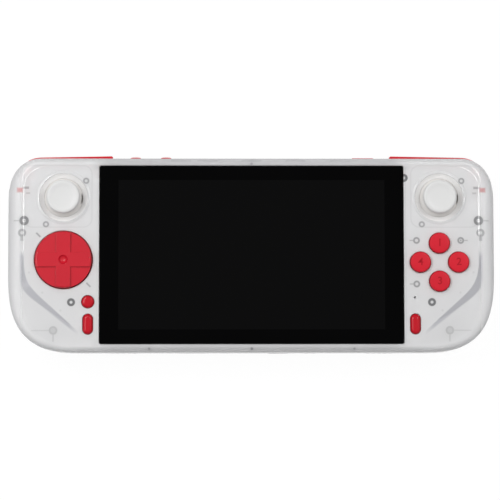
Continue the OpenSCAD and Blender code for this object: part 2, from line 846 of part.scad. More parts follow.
module rear_cuts() {
    at_large_posts() {
        rod([0, 0], head_r + head_gap, -over, seat_z);
        rod([0, 0], screw_r + 0.15, -over, z_split + over);
    }
    at_small_posts() {
        rod([0, 0], small_head_r + 0.15, -over, seat_z);
        rod([0, 0], small_r + 0.1, -over, z_split + over);
    }
    both_sides() {
        bar_notch();
        block(-body_w, -trigger_end + trigger_gap, notch_y, body_h, -over, bar_low - bar_gap);
        rod_x(hinge_y, hinge_z, trigger_pin_r + run_gap, -ear_outer - ear_t - post_t - over, -outer_pin_end);
        rod_x(hinge_y, hinge_z, trigger_pin_r + run_gap, -ear_inner - ear_t - post_t - over,
            -ear_inner + post_t + over);
        rod([-bar_pin[0], bar_pin[1]], bar_pin_r + run_gap, rear_in + 1, z_split);
        sound_slots();
    }
    for (j = [0 : intake_slots - 1])
        translate([fan_x + intake_pitch * (j - (intake_slots - 1) / 2), fan_y, 0])
            plate(intake_w, intake_l - 3 * abs(j - (intake_slots - 1) / 2), intake_w / 2 - tiny,
                z_rear - over, rear_in + over);
    vents();
    port_holes();
}
// Rear case with the two grips, screw posts and trigger brackets
module rear_shell() {
    in_frame()
        color(clear_plastic, 0.6)
            difference() {
                loft(rear_rings(0, z_rim), [0, 0, z_rear], [0, 0, z_rim]);
                difference() {
                    loft(rear_rings(wall, z_rim + over), [0, 0, rear_in], [0, 0, z_rim + over]);
                    rear_features();
                }
                rear_cuts();
            }
}

module screw(head, head_h, shank, z0, z1) {
    difference() {
        union() {
            rod([0, 0], head, z0, z0 + head_h);
            rod([0, 0], shank, z0, z1);
        }
        for (a = [0, 90])
            rotate(a)
                block(-0.6 * head, 0.6 * head, -0.18, 0.18, z0 - over, z0 + 0.5 * head_h);
    }
}
module inner_screw(seat, tip) {
    screw(inner_head_r, inner_head_t, inner_screw_r, seat - seat_gap - inner_head_t, tip);
}
// Screws that hold the two cases together
module case_screws() {
    in_frame()
        color(steel) {
            at_large_posts()
                screw(head_r, head_t, screw_r, seat_z - head_t, tip_z);
            at_small_posts()
                screw(small_head_r, 0.9, small_r, seat_z - 0.9, pocket_z - ledge_t - 0.1);
        }
}

module cover_glass() {
    in_frame()
        color(black_glass)
            plate(glass_w, glass_h, glass_r, pocket_z + tape_t, pocket_z + tape_t + glass_t);
}
module screen_adhesive() {
    in_frame()
        color(dark_plastic)
            difference() {
                plate(glass_w - 0.6, glass_h - 0.6, glass_r, pocket_z, pocket_z + tape_t);
                plate(panel_w + 2 * window_gap + 0.4, panel_h + 2 * window_gap + 0.4, glass_r,
                    pocket_z - over, pocket_z + tape_t + over);
            }
}
module display_panel() {
    in_frame()
        color(dark_panel)
            plate(panel_w, panel_h, 0.6, panel_low, panel_top);
}
// Ribbon from the panel's lower edge, through the support frame, to the main board
module display_flex() {
    flex_y = flex_in - panel_h / 2;
    low = board_top + seat_gap;
    high = panel_low - tiny;
    in_frame()
        color(flex_brown)
            union() {
                block(-flex_w / 2, flex_w / 2, flex_y, flex_y + flex_lap[0], high - flex_t, high);
                block(-flex_w / 2, flex_w / 2, flex_y, flex_y + flex_t, low, high);
                block(-flex_w / 2, flex_w / 2, flex_y, flex_y + flex_lap[1], low, low + 2 * flex_t);
            }
}
// Support frame behind the display, with standoffs for the main board
module support_frame() {
    in_frame()
        color(steel)
            difference() {
                union() {
                    plate(frame_w, frame_h, frame_r, frame_low, frame_top);
                    at_board_screws()
                        rod([0, 0], standoff_r, board_top + seat_gap, frame_low + tiny);
                }
                for (s = [-1, 1])
                    translate([s * frame_w / 4, 2, 0])
                        plate(frame_w / 2 - frame_opening[0], frame_h - frame_opening[1], frame_r,
                            frame_low - over, frame_top + over);
                block(-flex_w / 2 - flex_slot[0], flex_w / 2 + flex_slot[0], flex_in - 0.6 - panel_h / 2,
                    flex_in + flex_slot[1] - panel_h / 2, frame_low - over, frame_top + over);
                at_frame_screws()
                    rod([0, 0], inner_screw_r + thread_gap, frame_low - over, frame_top + over);
                at_board_screws()
                    rod([0, 0], inner_screw_r + thread_gap, board_top - over, frame_top + over);
            }
}
module at_frame_screws() {
    for (sx = [-1, 1], sy = [-1, 1])
        translate([sx * (frame_w / 2 - frame_screw_in[0]), sy * (frame_h / 2 - frame_screw_in[1]), 0])
            children();
}
module at_board_screws() {
    for (p = board_screws)
        translate([p[0], p[1], 0])
            children();
}
// Screws of the support frame, the main board and the control boards
module inner_screws() {
    in_frame()
        color(steel) {
            at_frame_screws()
                inner_screw(frame_low, pocket_z - 0.6);
            at_board_screws()
                inner_screw(board_low, frame_low);
            for (s = [-1, 1])
                translate([s * control_screw[0], control_screw[1], 0])
                    inner_screw(control_low, front_in - 0.7);
        }
}
module main_board() {
    in_frame()
        color(board_white)
            difference() {
                union() {
                    block(-main_w / 2, main_w / 2, main_y0, main_y1, board_low, board_top);
                    block(-tongue_w / 2, tongue_w / 2, tongue_in - half_h, main_y0 + tiny,
                        board_low, board_top);
                }
                at_board_screws()
                    rod([0, 0], inner_screw_r + 0.1, board_low - over, board_top + over);
                at_small_posts()
                    rod([0, 0], small_post_r + 0.4, board_low - over, board_top + over);
            }
}
// Processor and other packages on the rear face of the main board
module board_chips() {
    in_frame()
        color(dark_plastic) {
            for (c = chips)
                block(c[0] - c[2] / 2, c[0] + c[2] / 2, c[1] - c[2] / 2, c[1] + c[2] / 2,
                    board_low - seat_gap - chip_t, board_low - seat_gap);
        }
}
// Copper plate on the processor, with the flat pipe that leads to the fins
module heat_spreader() {
    top = board_low - 2 * seat_gap - chip_t;
    in_frame()
        color(copper)
            union() {
                translate([chip_x, chip_y, top - spread_t / 2])
                    cube([spreader[0], spreader[1], spread_t], center = true);
                block(chip_x - pipe_w / 2, chip_x + pipe_w / 2, chip_y, fin_y + pipe_w / 2,
                    top - pipe_t, top);
                rod([chip_x, fin_y + pipe_w / 2], pipe_w / 2, top - pipe_t, top);
                block(chip_x, fin_x + fin_w / 2, fin_y, fin_y + pipe_w, top - pipe_t, top);
            }
}
// Fin stack under the pipe, in front of the vents
module cooling_fins() {
    top = board_low - 3 * seat_gap - chip_t - pipe_t;
    step = (fin_w - fin_t) / (fins - 1);
    in_frame()
        color(steel)
            union() {
                block(fin_x - fin_w / 2, fin_x + fin_w / 2, fin_y, fin_y + fin_d, top - 0.5, top);
                for (j = [0 : fins - 1])
                    translate([fin_x - fin_w / 2 + step * j, fin_y, top - fin_h])
                        cube([fin_t, fin_d, fin_h - 0.2]);
            }
}
// Fan housing: round chamber with its inlet at the back and its outlet towards the fins
module fan_housing() {
    in_frame()
        color(dark_plastic)
            translate([fan_x, fan_y, 0])
                union() {
                    difference() {
                        block(-fan_w / 2, fan_w / 2, -fan_w / 2, fan_w / 2, fan_z, fan_z + fan_t);
                        rod([0, 0], fan_cavity_r, fan_z + fan_wall, fan_z + fan_t - fan_wall);
                        block(0, fan_cavity_r, 0, fan_w, fan_z + fan_wall, fan_z + fan_t - fan_wall);
                        rod([0, 0], fan_inlet_r, fan_z - over, fan_z + fan_t / 2);
                    }
                    rod([0, 0], spindle_r, fan_z + fan_wall, fan_z + fan_t - fan_wall / 2);
                }
}
module fan_rotor() {
    low = fan_z + fan_wall + rotor_gap / 2;
    high = fan_z + fan_t - fan_wall - rotor_gap / 2;
    tip = fan_cavity_r - rotor_gap - 0.6;
    in_frame()
        color(dark_plastic)
            translate([fan_x, fan_y, 0])
                difference() {
                    union() {
                        rod([0, 0], hub_r, low, high);
                        rod([0, 0], tip - 1, high - 0.6, high);
                        for (j = [0 : blades - 1])
                            rotate(360 * j / blades)
                                block(hub_r - 1, tip, -blade_t / 2, blade_t / 2, low, high);
                    }
                    rod([0, 0], spindle_r + run_gap, fan_z, fan_z + fan_t);
                }
}
module battery() {
    in_frame()
        color(pouch_grey)
            translate([battery_x, battery_y, 0])
                union() {
                    plate(battery_w, battery_h, 2, rear_in + 0.1, rear_in + 0.1 + battery_t);
                    block(-battery_w / 2 + 6, -battery_w / 2 + 22, battery_h / 2 - tiny, battery_h / 2 + 0.2,
                        rear_in + 3.2, rear_in + battery_t - 0.8);
                }
}

// Left control board: follows the lower corner of the case
module control_board() {
    edge = [for (j = [0 : corner_steps])
        corner_point(-1, -1, 90 * j / corner_steps, board_inset, board_inset)];
    low = board_inset - half_h;
    difference() {
        translate([0, 0, control_low])
            linear_extrude(board_t)
                polygon(concat([[board_inset - half_w, board_upper]], edge,
                    [[-board_inner, low], [-board_inner, board_upper]]));
        for (p = post_large)
            rod([-p[0], p[1]], post_r + 0.4, control_low - over, control_top + over);
        rod([-pin_side[0], pin_side[1]], pin_r + 0.4, control_low - over, control_top + over);
        rod([-control_screw[0], control_screw[1]], inner_screw_r + 0.1,
            control_low - over, control_top + over);
    }
}
module left_board() {
    in_frame()
        color(board_white)
            control_board();
}
module right_board() {
    in_frame()
        color(board_white)
            mirror([1, 0, 0])
                control_board();
}
// Ribbon under both boards
module board_ribbon() {
    low = min(control_low, board_low) - seat_gap - flex_t;
    block(-board_inner - ribbon_lap, ribbon_lap + 1 - main_w / 2, ribbon_y, ribbon_y + ribbon_w, low,
        low + flex_t);
}
module left_flex() {
    in_frame()
        color(flex_brown)
            board_ribbon();
}
module right_flex() {
    in_frame()
        color(flex_brown)
            mirror([1, 0, 0])
                board_ribbon();
}

// Stick cap: dished top with a rounded rim, on a domed skirt
module stick_cap() {
    r = cap_d / 2;
    t = cap_top;
    translate([0, 0, pivot_z])
        difference() {
            union() {
                difference() {
                    sphere(r = skirt_r);
                    sphere(r = skirt_r - skirt_t);
                    translate([0, 0, skirt_low - 2 * skirt_r])
                        cylinder(r = 2 * skirt_r, h = 2 * skirt_r);
                }
                rotate_extrude()
                    polygon(concat([[0, skirt_r - skirt_t - 0.4], [0.6 * r, skirt_r - skirt_t - 0.4],
                        [0.63 * r, skirt_r - 0.2], [r - 1.3, t - 3.2], [r - 0.5, t - 2.5]],
                        arc(r - 1.3, t - 1.3, 1.3, -12, 90, 5),
                        [[r - 2, t - 0.06], [r - 2.7, t - 0.22], [r - 4, t - 0.4], [0, t - 0.5]]));
                cylinder(r = shaft_r + 1.2, h = shaft_top);
            }
            translate([0, 0, -over])
                cylinder(r = shaft_r + run_gap, h = shaft_top + click + 0.1 + over);
            translate([0, 0, -over])
                cylinder(r = 2 * shaft_r, h = skirt_low + over);
        }
}
module stick_shaft() {
    translate([0, 0, pivot_z])
        union() {
            translate([0, 0, -2.6])
                cylinder(r = shaft_r, h = shaft_top + 2.6);
            rod_y(0, 0, cross_pin_r, -yoke_d / 2 + 0.2, yoke_d / 2 - 0.2);
        }
}
module stick_yoke() {
    translate([0, 0, pivot_z])
        difference() {
            union() {
                block(-yoke_w / 2, yoke_w / 2, -yoke_d / 2, yoke_d / 2, -yoke_t / 2, yoke_t / 2);
                rod_x(0, 0, axle_r, 0.3 - module_w / 2, module_w / 2 - 0.3);
            }
            block(-2.8, 2.8, -2.1, 2.1, -yoke_t, yoke_t);
            rod_y(0, 0, cross_pin_r + run_gap, -yoke_d, yoke_d);
        }
}
// Stick housing: cup with the axle bores, struts, and the plate screwed to the front case
module stick_housing() {
    half = module_w / 2;
    inner = half - module_wall;
    difference() {
        union() {
            difference() {
                block(-half, half, -half, half, module_low, module_top);
                block(-inner, inner, -inner, inner, module_low + 1, module_top + over);
                rod_x(0, pivot_z, axle_r + run_gap, -module_w, module_w);
            }
            block(-strut_x - 1, strut_x + 1, -strut_w / 2, strut_w / 2, module_low, module_low + 1);
            for (s = [-1, 1])
                translate([s * (strut_x + 0.5), 0, 0])
                    block(-0.5, 0.5, -strut_w / 2, strut_w / 2, module_low, plate_top);
            plate(plate_w, plate_w, 2, plate_top - plate_t, plate_top);
        }
        rod([0, 0], plate_hole_r, plate_top - plate_t - over, plate_top + over);
        for (p = stick_screws)
            rod(p, inner_screw_r + 0.1, plate_top - plate_t - over, plate_top + over);
    }
}
module at_stick(s) {
    in_frame()
        translate([s * wing_x, stick_y, 0])
            children();
}
module left_stick_cap() {
    color(white_plastic)
        at_stick(-1)
            stick_cap();
}
module right_stick_cap() {
    color(white_plastic)
        at_stick(1)
            stick_cap();
}
module left_stick_shaft() {
    color(steel)
        at_stick(-1)
            stick_shaft();
}
module right_stick_shaft() {
    color(steel)
        at_stick(1)
            stick_shaft();
}
module left_stick_yoke() {
    color(dark_plastic)
        at_stick(-1)
            stick_yoke();
}
module right_stick_yoke() {
    color(dark_plastic)
        at_stick(1)
            stick_yoke();
}
module left_stick_housing() {
    color(steel)
        at_stick(-1)
            stick_housing();
}
module right_stick_housing() {
    color(steel)
        at_stick(1)
            stick_housing();
}
module stick_screws() {
    in_frame()
        color(steel)
            at_stick_screws()
                inner_screw(plate_top - plate_t, z_front - 1);
}

// Cross pad: disc with a raised cross, sloped quarters and a centre dimple, cupped for its ball
module cross_pad() {
    r = pad_d / 2;
    top = z_front + pad_rise;
    low = ball_z - 0.1;
    in_frame()
        color(red_plastic)
            translate([-wing_x, pad_y, 0])
                difference() {
                    rotate_extrude()
                        polygon(concat([[0, low], [pad_flange_r, low], [pad_flange_r, low + pad_flange_t],
                            [r, low + pad_flange_t]], arc(r - pad_edge, top - pad_edge, pad_edge, 0, 90, 5),
                            [[0, top]]));
                    for (a = [0 : 90 : 270])
                        rotate(a)
                            translate([cross_w / 2, cross_w / 2, top - cross_step])
                                rotate(quarter_tilt, [-1, 1, 0])
                                    cube([r, r, 2 * cross_step + over]);
                    translate([0, 0, top + dimple_r - dimple_depth])
                        sphere(r = dimple_r);
                    translate([0, 0, ball_z])
                        sphere(r = ball_r + cup_gap);
                }
}
// Ball that the cross pad rocks on
module cross_pad_ball() {
    in_frame()
        color(white_plastic)
            translate([-wing_x, pad_y, ball_z])
                sphere(r = ball_r);
}
module dome(p) {
    rod(p, dome_r, control_top + seat_gap, control_top + sheet_t + dome_t - 0.2);
    rod(p, 0.6 * dome_r, control_top + seat_gap, control_top + sheet_t + dome_t);
}
module cross_pad_membrane() {
    in_frame()
        color(rubber)
            translate([-wing_x, pad_y, 0])
                difference() {
                    union() {
                        rod([0, 0], pad_sheet_r, control_top + seat_gap, control_top + sheet_t);
                        for (a = [0 : 90 : 270])
                            dome([pad_dome_ring * cos(a), pad_dome_ring * sin(a)]);
                    }
                    rod([0, 0], ball_r + 0.6, control_top - over, control_top + 2 * sheet_t);
                }
}

// Half section of a button: rounded edge, flange under the front case
function button_side(r, low, rise) = let (top = z_front + rise, under = front_in - flange_gap)
    concat([[0.7 * r, low], [0.7 * r, under - flange_t], [r + flange_w, under - flange_t],
        [r + flange_w, under], [r, under]], arc(r - edge_r, top - edge_r, edge_r, 0, 76, 5));
module button_round(d, rise, low) {
    r = d / 2;
    rotate_extrude()
        polygon(concat([[0, low]], button_side(r, low, rise), [[0, z_front + rise + face_crown]]));
}
module face_button(a) {
    in_frame()
        color(red_plastic)
            translate([wing_x + face_spread * cos(a), face_y + face_spread * sin(a), 0])
                button_round(face_d, face_rise, face_low);
}
module face_button_top() {
    face_button(90);
}
module face_button_right() {
    face_button(0);
}
module face_button_bottom() {
    face_button(270);
}
module face_button_left() {
    face_button(180);
}
module face_button_membrane() {
    in_frame()
        color(rubber)
            translate([wing_x, face_y, 0])
                union() {
                    for (a = [0, 90])
                        rotate(a)
                            plate(2 * face_spread + 1.5, face_d + 1, 2, control_top + seat_gap,
                                control_top + sheet_t);
                    for (a = [0 : 90 : 270])
                        dome([face_spread * cos(a), face_spread * sin(a)]);
                }
}
module round_button() {
    in_frame()
        color(red_plastic)
            translate([-small_x, round_y, 0])
                button_round(round_d, small_rise, small_low);
}
// Pill button: the round button's section drawn out along its length
module pill_button() {
    half = (pill_l - pill_w) / 2;
    top = z_front + small_rise + pill_crown;
    side = button_side(pill_w / 2, small_low, small_rise);
    for (s = [-1, 1])
        translate([0, s * half, 0])
            rotate_extrude()
                polygon(concat([[0, small_low]], side, [[0, top]]));
    translate([0, half, 0])
        rotate([90, 0, 0])
            linear_extrude(2 * half)
                polygon(concat(side, [[0, top]], flip([for (p = side) [-p[0], p[1]]])));
}
module left_pill_button() {
    in_frame()
        color(red_plastic)
            translate([-small_x, pill_y, 0])
                pill_button();
}
module right_pill_button() {
    in_frame()
        color(red_plastic)
            translate([small_x, pill_y, 0])
                pill_button();
}
module small_sheet(x, low, high) {
    block(x - small_sheet[0], x + small_sheet[0], low - small_sheet[1], high + small_sheet[1],
        control_top + seat_gap, control_top + sheet_t);
}
module left_small_membrane() {
    in_frame()
        color(rubber)
            union() {
                small_sheet(-small_x, pill_y, round_y);
                dome([-small_x, round_y]);
                dome([-small_x, pill_y]);
            }
}
module right_small_membrane() {
    in_frame()
        color(rubber)
            union() {
                small_sheet(small_x, pill_y, pill_y);
                dome([small_x, pill_y]);
            }
}

// Left shoulder bar: rounded section swept along the top edge, sinking into the corner, with a hinge ear
function bar_section(proud) = let (c = proud - bar_round)
    concat([[-bar_in, bar_low], [c, bar_low]], arc(c, bar_low + bar_round, bar_round, -60, 0, 2),
        arc(c, bar_top - bar_round, bar_round, 0, 60, 2), [[c, bar_top], [-bar_in, bar_top]]);
function bar_station(base, reach, proud) =
    [for (p = bar_section(proud)) let (q = base + p[0] * reach) [q[0], q[1], p[1]]];
function bar_sections() = concat(
    [bar_station([-bar_end, half_h], [0, 1], bar_proud - bar_soft)],
    [for (x = [bar_end + bar_soft, mix(bar_end, half_w - top_corner_w, 0.5)])
        bar_station([-x, half_h], [0, 1], bar_proud)],
    [for (j = [0 : bar_steps]) let (t = j / bar_steps, a = 90 - bar_turn * t,
        p = corner_point(-1, 1, a, 0, 0), q = corner_point(-1, 1, a, -1, -1))
        bar_station(p, q - p, bar_proud * (1 - pow(t, bar_taper)))]);
module shoulder_bar() {
    low = bar_low + 0.6;
    high = bar_top - 0.6;
    difference() {
        union() {
            tube(flip(bar_sections()));
            block(-bar_end - 4, -bar_pin[0] + 0.3, half_h - bar_in, half_h - bar_in + bar_ear - 1.2,
                low, high);
            rod([-bar_pin[0], bar_pin[1]], bar_pin_r + 1, low, high);
        }
        rod([-bar_pin[0], bar_pin[1]], bar_pin_r + run_gap, bar_low - over, bar_top + over);
    }
}
module left_shoulder_bar() {
    in_frame()
        color(red_plastic)
            shoulder_bar();
}
module right_shoulder_bar() {
    in_frame()
        color(red_plastic)
            mirror([1, 0, 0])
                shoulder_bar();
}
module shoulder_pins() {
    in_frame()
        color(steel)
            both_sides()
                rod([-bar_pin[0], bar_pin[1]], bar_pin_r, rear_in + 1, bar_top - 0.3);
}

// Left trigger: curved paddle behind the shoulder bar, on two hinge ears
module trigger() {
    r = paddle_reach;
    top = bar_low - bar_gap;
    profile = concat([[notch_y + over, top - paddle_root[0]]],
        [for (p = paddle_curve) [r - p[0], top - p[1]]],
        [[notch_y + over, top - paddle_root[1]]]);
    edge = [for (j = [0 : trigger_steps])
        let (p = corner_point(-1, 1, 90 - 90 * j / trigger_steps, -0.4, -0.6)) if (p[1] > notch_y) p];
    difference() {
        union() {
            intersection() {
                translate([-trigger_end, 0, 0])
                    rotate([90, 0, -90])
                        linear_extrude(half_w - trigger_end)
                            polygon([for (p = profile) [-p[0], p[1]]]);
                translate([0, 0, -over])
                    linear_extrude(z_split)
                        polygon(concat([[-trigger_end, 0], [-trigger_end, r]], edge,
                            [[edge[len(edge) - 1][0], notch_y], [-ear_outer, notch_y], [-ear_outer, 0]]));
            }
            for (x = [ear_outer, ear_inner]) {
                rod_x(hinge_y, hinge_z, ear_r, -x - ear_t, -x);
                block(-x - ear_t, -x, hinge_y, notch_y + ear_arm[0],
                    hinge_z - ear_arm[1], hinge_z + ear_arm[2]);
            }
        }
        for (x = [ear_outer, ear_inner])
            rod_x(hinge_y, hinge_z, trigger_pin_r + run_gap, -x - ear_t - over, -x + over);
    }
}
module left_trigger() {
    in_frame()
        color(red_plastic)
            trigger();
}
module right_trigger() {
    in_frame()
        color(red_plastic)
            mirror([1, 0, 0])
                trigger();
}
module trigger_pins() {
    in_frame()
        color(steel)
            both_sides() {
                rod_x(hinge_y, hinge_z, trigger_pin_r, -ear_outer - ear_t - post_t - 0.2, -outer_pin_end);
                rod_x(hinge_y, hinge_z, trigger_pin_r, -ear_inner - ear_t - post_t, -ear_inner + post_t);
            }
}
// Torsion spring on the outer pin: one leg lies along the floor, the other reaches over the paddle
function wire_ring(c, t) = let (v = unit([0, t[1], -t[0]]))
    [for (j = [0 : wire_sides - 1]) let (a = 360 * j / wire_sides)
        c + wire_r * (cos(a) * [1, 0, 0] + sin(a) * v)];
function coil_point(t) = let (a = 360 * coil_turns * t)
    [-coil_start + coil_pitch * coil_turns * t, hinge_y + coil_r * sin(a), hinge_z - coil_r * cos(a)];
module trigger_spring() {
    count = coil_turns * coil_rings;
    last = coil_point(1);
    coil = [for (j = [0 : count]) let (a = 360 * coil_turns * j / count)
        wire_ring(coil_point(j / count), [cos(a), sin(a)])];
    tube(concat([wire_ring(coil_point(0) - [0, leg_l, 0], [1, 0])], coil,
        [wire_ring(last + [0, 0.4, leg_rise - 0.6], [0.6, 0.8]),
            wire_ring(last + [0, leg_l, leg_rise], [1, 0])]));
}
module left_trigger_spring() {
    in_frame()
        color(steel)
            trigger_spring();
}
module right_trigger_spring() {
    in_frame()
        color(steel)
            mirror([1, 0, 0])
                trigger_spring();
}

// Flange of a key behind the top edge
module key_flange(l) {
    block(-l / 2 - key_flange_w, l / 2 + key_flange_w, key_lap - key_in - key_flange, key_lap - key_in,
        key_z - key_t / 2 - key_lip[0], key_z + key_t / 2 + key_lip[1]);
}
// Volume rocker: two bumps on one bar, rocking about its middle
module volume_rocker() {
    z0 = key_z - key_t / 2;
    z1 = key_z + key_t / 2;
    in_frame()
        color(red_plastic)
            translate([-rocker_x, half_h, 0])
                union() {
                    block(-rocker_l / 2, rocker_l / 2, -key_in, -0.2, z0, z1);
                    rod([0, -key_in], pivot_r, z0, z1 + pivot_l);
                    for (s = [-1, 1])
                        translate([s * (rocker_l - bump_l) / 2, 0, z0])
                            linear_extrude(key_t)
                                polygon([[-bump_l / 2, -0.3], [bump_l / 2, -0.3],
                                    [bump_l / 2, bump_proud - 0.4],
                                    [bump_l / 2 - 0.6, bump_proud - 0.06], [bump_l / 2 - 1.4, bump_proud],
                                    [1.4 - bump_l / 2, bump_proud], [0.6 - bump_l / 2, bump_proud - 0.06],
                                    [-bump_l / 2, bump_proud - 0.4]]);
                    key_flange(rocker_l);
                }
}
module power_button() {
    z0 = key_z - key_t / 2;
    z1 = key_z + key_t / 2;
    in_frame()
        color(red_plastic)
            translate([power_x, half_h, 0])
                union() {
                    block(-power_l / 2, power_l / 2, -key_in, power_proud, z0, z1);
                    key_flange(power_l);
                }
}
module push_switch(y, reach) {
    block(-switch_d, switch_d, y - switch_d, y, 0, switch_h);
    rod_y(0, switch_h / 2, plunger_r, y - tiny, y + reach);
}
// Push switches behind the rocker, the power button and the shoulder bars
module push_switches() {
    key_y = half_h - key_in - key_flange + key_lap - key_travel - 0.1;
    in_frame()
        color(dark_plastic) {
            for (x = [-rocker_x - rocker_l / 2 + 4, -rocker_x + rocker_l / 2 - 4, power_x])
                translate([x, 0, board_top + seat_gap])
                    push_switch(key_y - 0.9, 0.9);
            for (s = [-1, 1])
                translate([s * (wing_x - bar_switch[0]), stick_y, plate_top - plate_t - seat_gap - switch_h])
                    push_switch(bar_switch[1], stick_drop - bar_in - bar_switch_gap - bar_switch[1]);
        }
}

// Bottom-firing speaker
module speaker() {
    y0 = wall + 0.3 - half_h;
    translate([-speaker_x, 0, 0])
        difference() {
            block(-speaker_w / 2, speaker_w / 2, y0, y0 + speaker_d, speaker_z, speaker_z + speaker_h);
            block(1 - speaker_w / 2, speaker_w / 2 - 1, y0 - over, y0 + 0.6, speaker_z + speaker_rim,
                speaker_z + speaker_h - speaker_rim);
        }
}
module left_speaker() {
    in_frame()
        color(dark_plastic)
            speaker();
}
module right_speaker() {
    in_frame()
        color(dark_plastic)
            mirror([1, 0, 0])
                speaker();
}
// Charging port: thin shell with a tongue
module charging_port() {
    front = port_in - half_h;
    in_frame()
        color(steel)
            translate([usb_x, front, port_z])
                rotate([-90, 0, 0])
                    union() {
                        difference() {
                            plate(usb_w, usb_h, 1.5, 0, usb_l);
                            plate(usb_w - 2 * usb_wall, usb_h - 2 * usb_wall, 1.5 - usb_wall,
                                -over, usb_l - 1);
                        }
                        block(-3.3, 3.3, -0.35, 0.35, 1, usb_l - 1 + tiny);
                    }
}
module headphone_jack() {
    front = wall + jack_in - half_h;
    in_frame()
        color(dark_plastic)
            difference() {
                block(jack_x - jack_w / 2, jack_x + jack_w / 2, front, front + jack_l, jack_z - jack_h / 2,
                    jack_z + jack_h / 2);
                rod_y(jack_x, jack_z, jack_r, front - over, front + jack_l - 1);
            }
}
module card_slot() {
    front = wall + 0.2 - half_h;
    in_frame()
        color(steel)
            difference() {
                block(card_x - card_w / 2, card_x + card_w / 2, front, front + card_l, card_z - card_h / 2,
                    card_z + card_h / 2);
                block(card_x - card_slot_w / 2, card_x + card_slot_w / 2, front - over, front + card_l - 1,
                    card_z - card_slot_h / 2, card_z + card_slot_h / 2);
            }
}

front_shell();
rear_shell();
case_screws();
cover_glass();
screen_adhesive();
display_panel();
display_flex();
support_frame();
inner_screws();
main_board();
board_chips();
heat_spreader();
cooling_fins();
fan_housing();
fan_rotor();
battery();
left_board();
right_board();
left_flex();
right_flex();
left_stick_cap();
left_stick_shaft();
left_stick_yoke();
left_stick_housing();
right_stick_cap();
right_stick_shaft();
right_stick_yoke();
right_stick_housing();
stick_screws();
cross_pad();
cross_pad_ball();
cross_pad_membrane();
face_button_top();
face_button_right();
face_button_bottom();
face_button_left();
face_button_membrane();
round_button();
left_pill_button();
right_pill_button();
left_small_membrane();
right_small_membrane();
left_shoulder_bar();
right_shoulder_bar();
shoulder_pins();
left_trigger();
right_trigger();
trigger_pins();
left_trigger_spring();
right_trigger_spring();
volume_rocker();
power_button();
push_switches();
left_speaker();
right_speaker();
charging_port();
headphone_jack();
card_slot();
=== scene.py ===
import json
import math

import bpy
import bmesh
from mathutils import Matrix, Vector


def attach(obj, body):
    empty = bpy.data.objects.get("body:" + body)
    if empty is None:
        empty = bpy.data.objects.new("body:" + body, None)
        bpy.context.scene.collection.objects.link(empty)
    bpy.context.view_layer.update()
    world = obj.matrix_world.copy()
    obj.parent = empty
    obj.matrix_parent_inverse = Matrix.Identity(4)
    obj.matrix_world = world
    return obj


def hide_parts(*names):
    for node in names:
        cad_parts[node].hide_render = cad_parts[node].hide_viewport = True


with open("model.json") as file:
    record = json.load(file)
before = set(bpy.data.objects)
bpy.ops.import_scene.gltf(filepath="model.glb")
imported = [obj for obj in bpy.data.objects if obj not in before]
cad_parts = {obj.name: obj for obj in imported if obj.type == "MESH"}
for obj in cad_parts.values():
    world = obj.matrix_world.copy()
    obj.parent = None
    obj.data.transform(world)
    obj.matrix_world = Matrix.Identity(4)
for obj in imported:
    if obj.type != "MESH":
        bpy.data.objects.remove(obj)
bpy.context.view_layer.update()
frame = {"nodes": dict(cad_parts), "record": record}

scene = bpy.context.scene
scene.view_settings.view_transform = "Standard"

# Sizes in millimetres about the case's middle, which lies at MID_Y; most are those of the solids
MM = 0.001
MID_Y = -0.6
SIDES = (-1, 1)
# How far a cutting tool reaches past what it cuts; steps of the largest round pieces
OVER, FINE = 1.0, 128

# Case
HALF_W, HALF_H, WALL = 111.5, 44.75, 1.8
Z_REAR, Z_FRONT, Z_SPLIT, Z_RIM = 8.0, 25.5, 17.0, 16.9
FRONT_IN, REAR_IN = Z_FRONT - WALL, Z_REAR + WALL
SIDE_TOP, SIDE_LOW = 20.5, 13.0
# Corners: width, height, squareness
TOP_CORNER, LOW_CORNER, PLATEAU_CORNER = (15.5, 19.3, 2.25), (35.6, 38.6, 2.95), (11.5, 8.8, 1.85)
LEAST_CORNER = 0.4
EDGE_SIDE, EDGE_TOP = 6.4, 3.0
RIM_FLAT, RIM_BAND, RIM_SHARE = 1.1, 0.45, 0.9
RIM_STEP, STEP_START, STEP_BLEND = 0.1, -3.0, 8.0
PLATEAU_SIDE, PLATEAU_TOP = EDGE_SIDE + RIM_FLAT, EDGE_TOP + RIM_FLAT
CREASE_SLOPE, FACET_SLOPE = math.tan(math.radians(8)), math.tan(math.radians(21))
BACK_SIDE, BACK_TOP = 10.0, 4.0
GRIP_DEPTH, GRIP_START, GRIP_BLEND = 8.0, 64.0, 20.0
GRIP_LOW, GRIP_LOW_BLEND, GRIP_HIGH, GRIP_HIGH_BLEND = -44.0, 16.0, 31.0, 20.0

# Glass and panel
GLASS_W, GLASS_H, GLASS_R, GLASS_T, GLASS_GAP, GLASS_LIP = 139.2, 81.7, 0.9, 1.1, 0.4, 0.15
PANEL_W, PANEL_H, PANEL_GAP = 128.0, 74.0, 1.2
LIT_HALF_W, LIT_HALF_H = 60.9, 34.25
POCKET_Z, LEDGE_T, LIP_W, TAPE_T = 24.3, 1.6, 1.7, 0.2

# Sticks and cross pad
WING_X, STICK_Y, PAD_Y, FACE_Y = 86.0, 26.2, -2.4, -3.5
PLATE_TOP = 23.0
RING_D, RING_SPARE, WELL_D, WELL_LOW, BOWL_R, BOWL_DEEP = 24.7, 0.4, 19.5, PLATE_TOP + 0.5, 11.0, 1.5
# Profile of the ring around a stick, above the face: its outside by distance from the foot up to the crest
RING_BEAD = [(0, 0), (0.05, 0.025), (0.45, 0.18), (0.51, 0.199), (0.95, 0.301), (1.0, 0.31), (1.2, 0.325)]
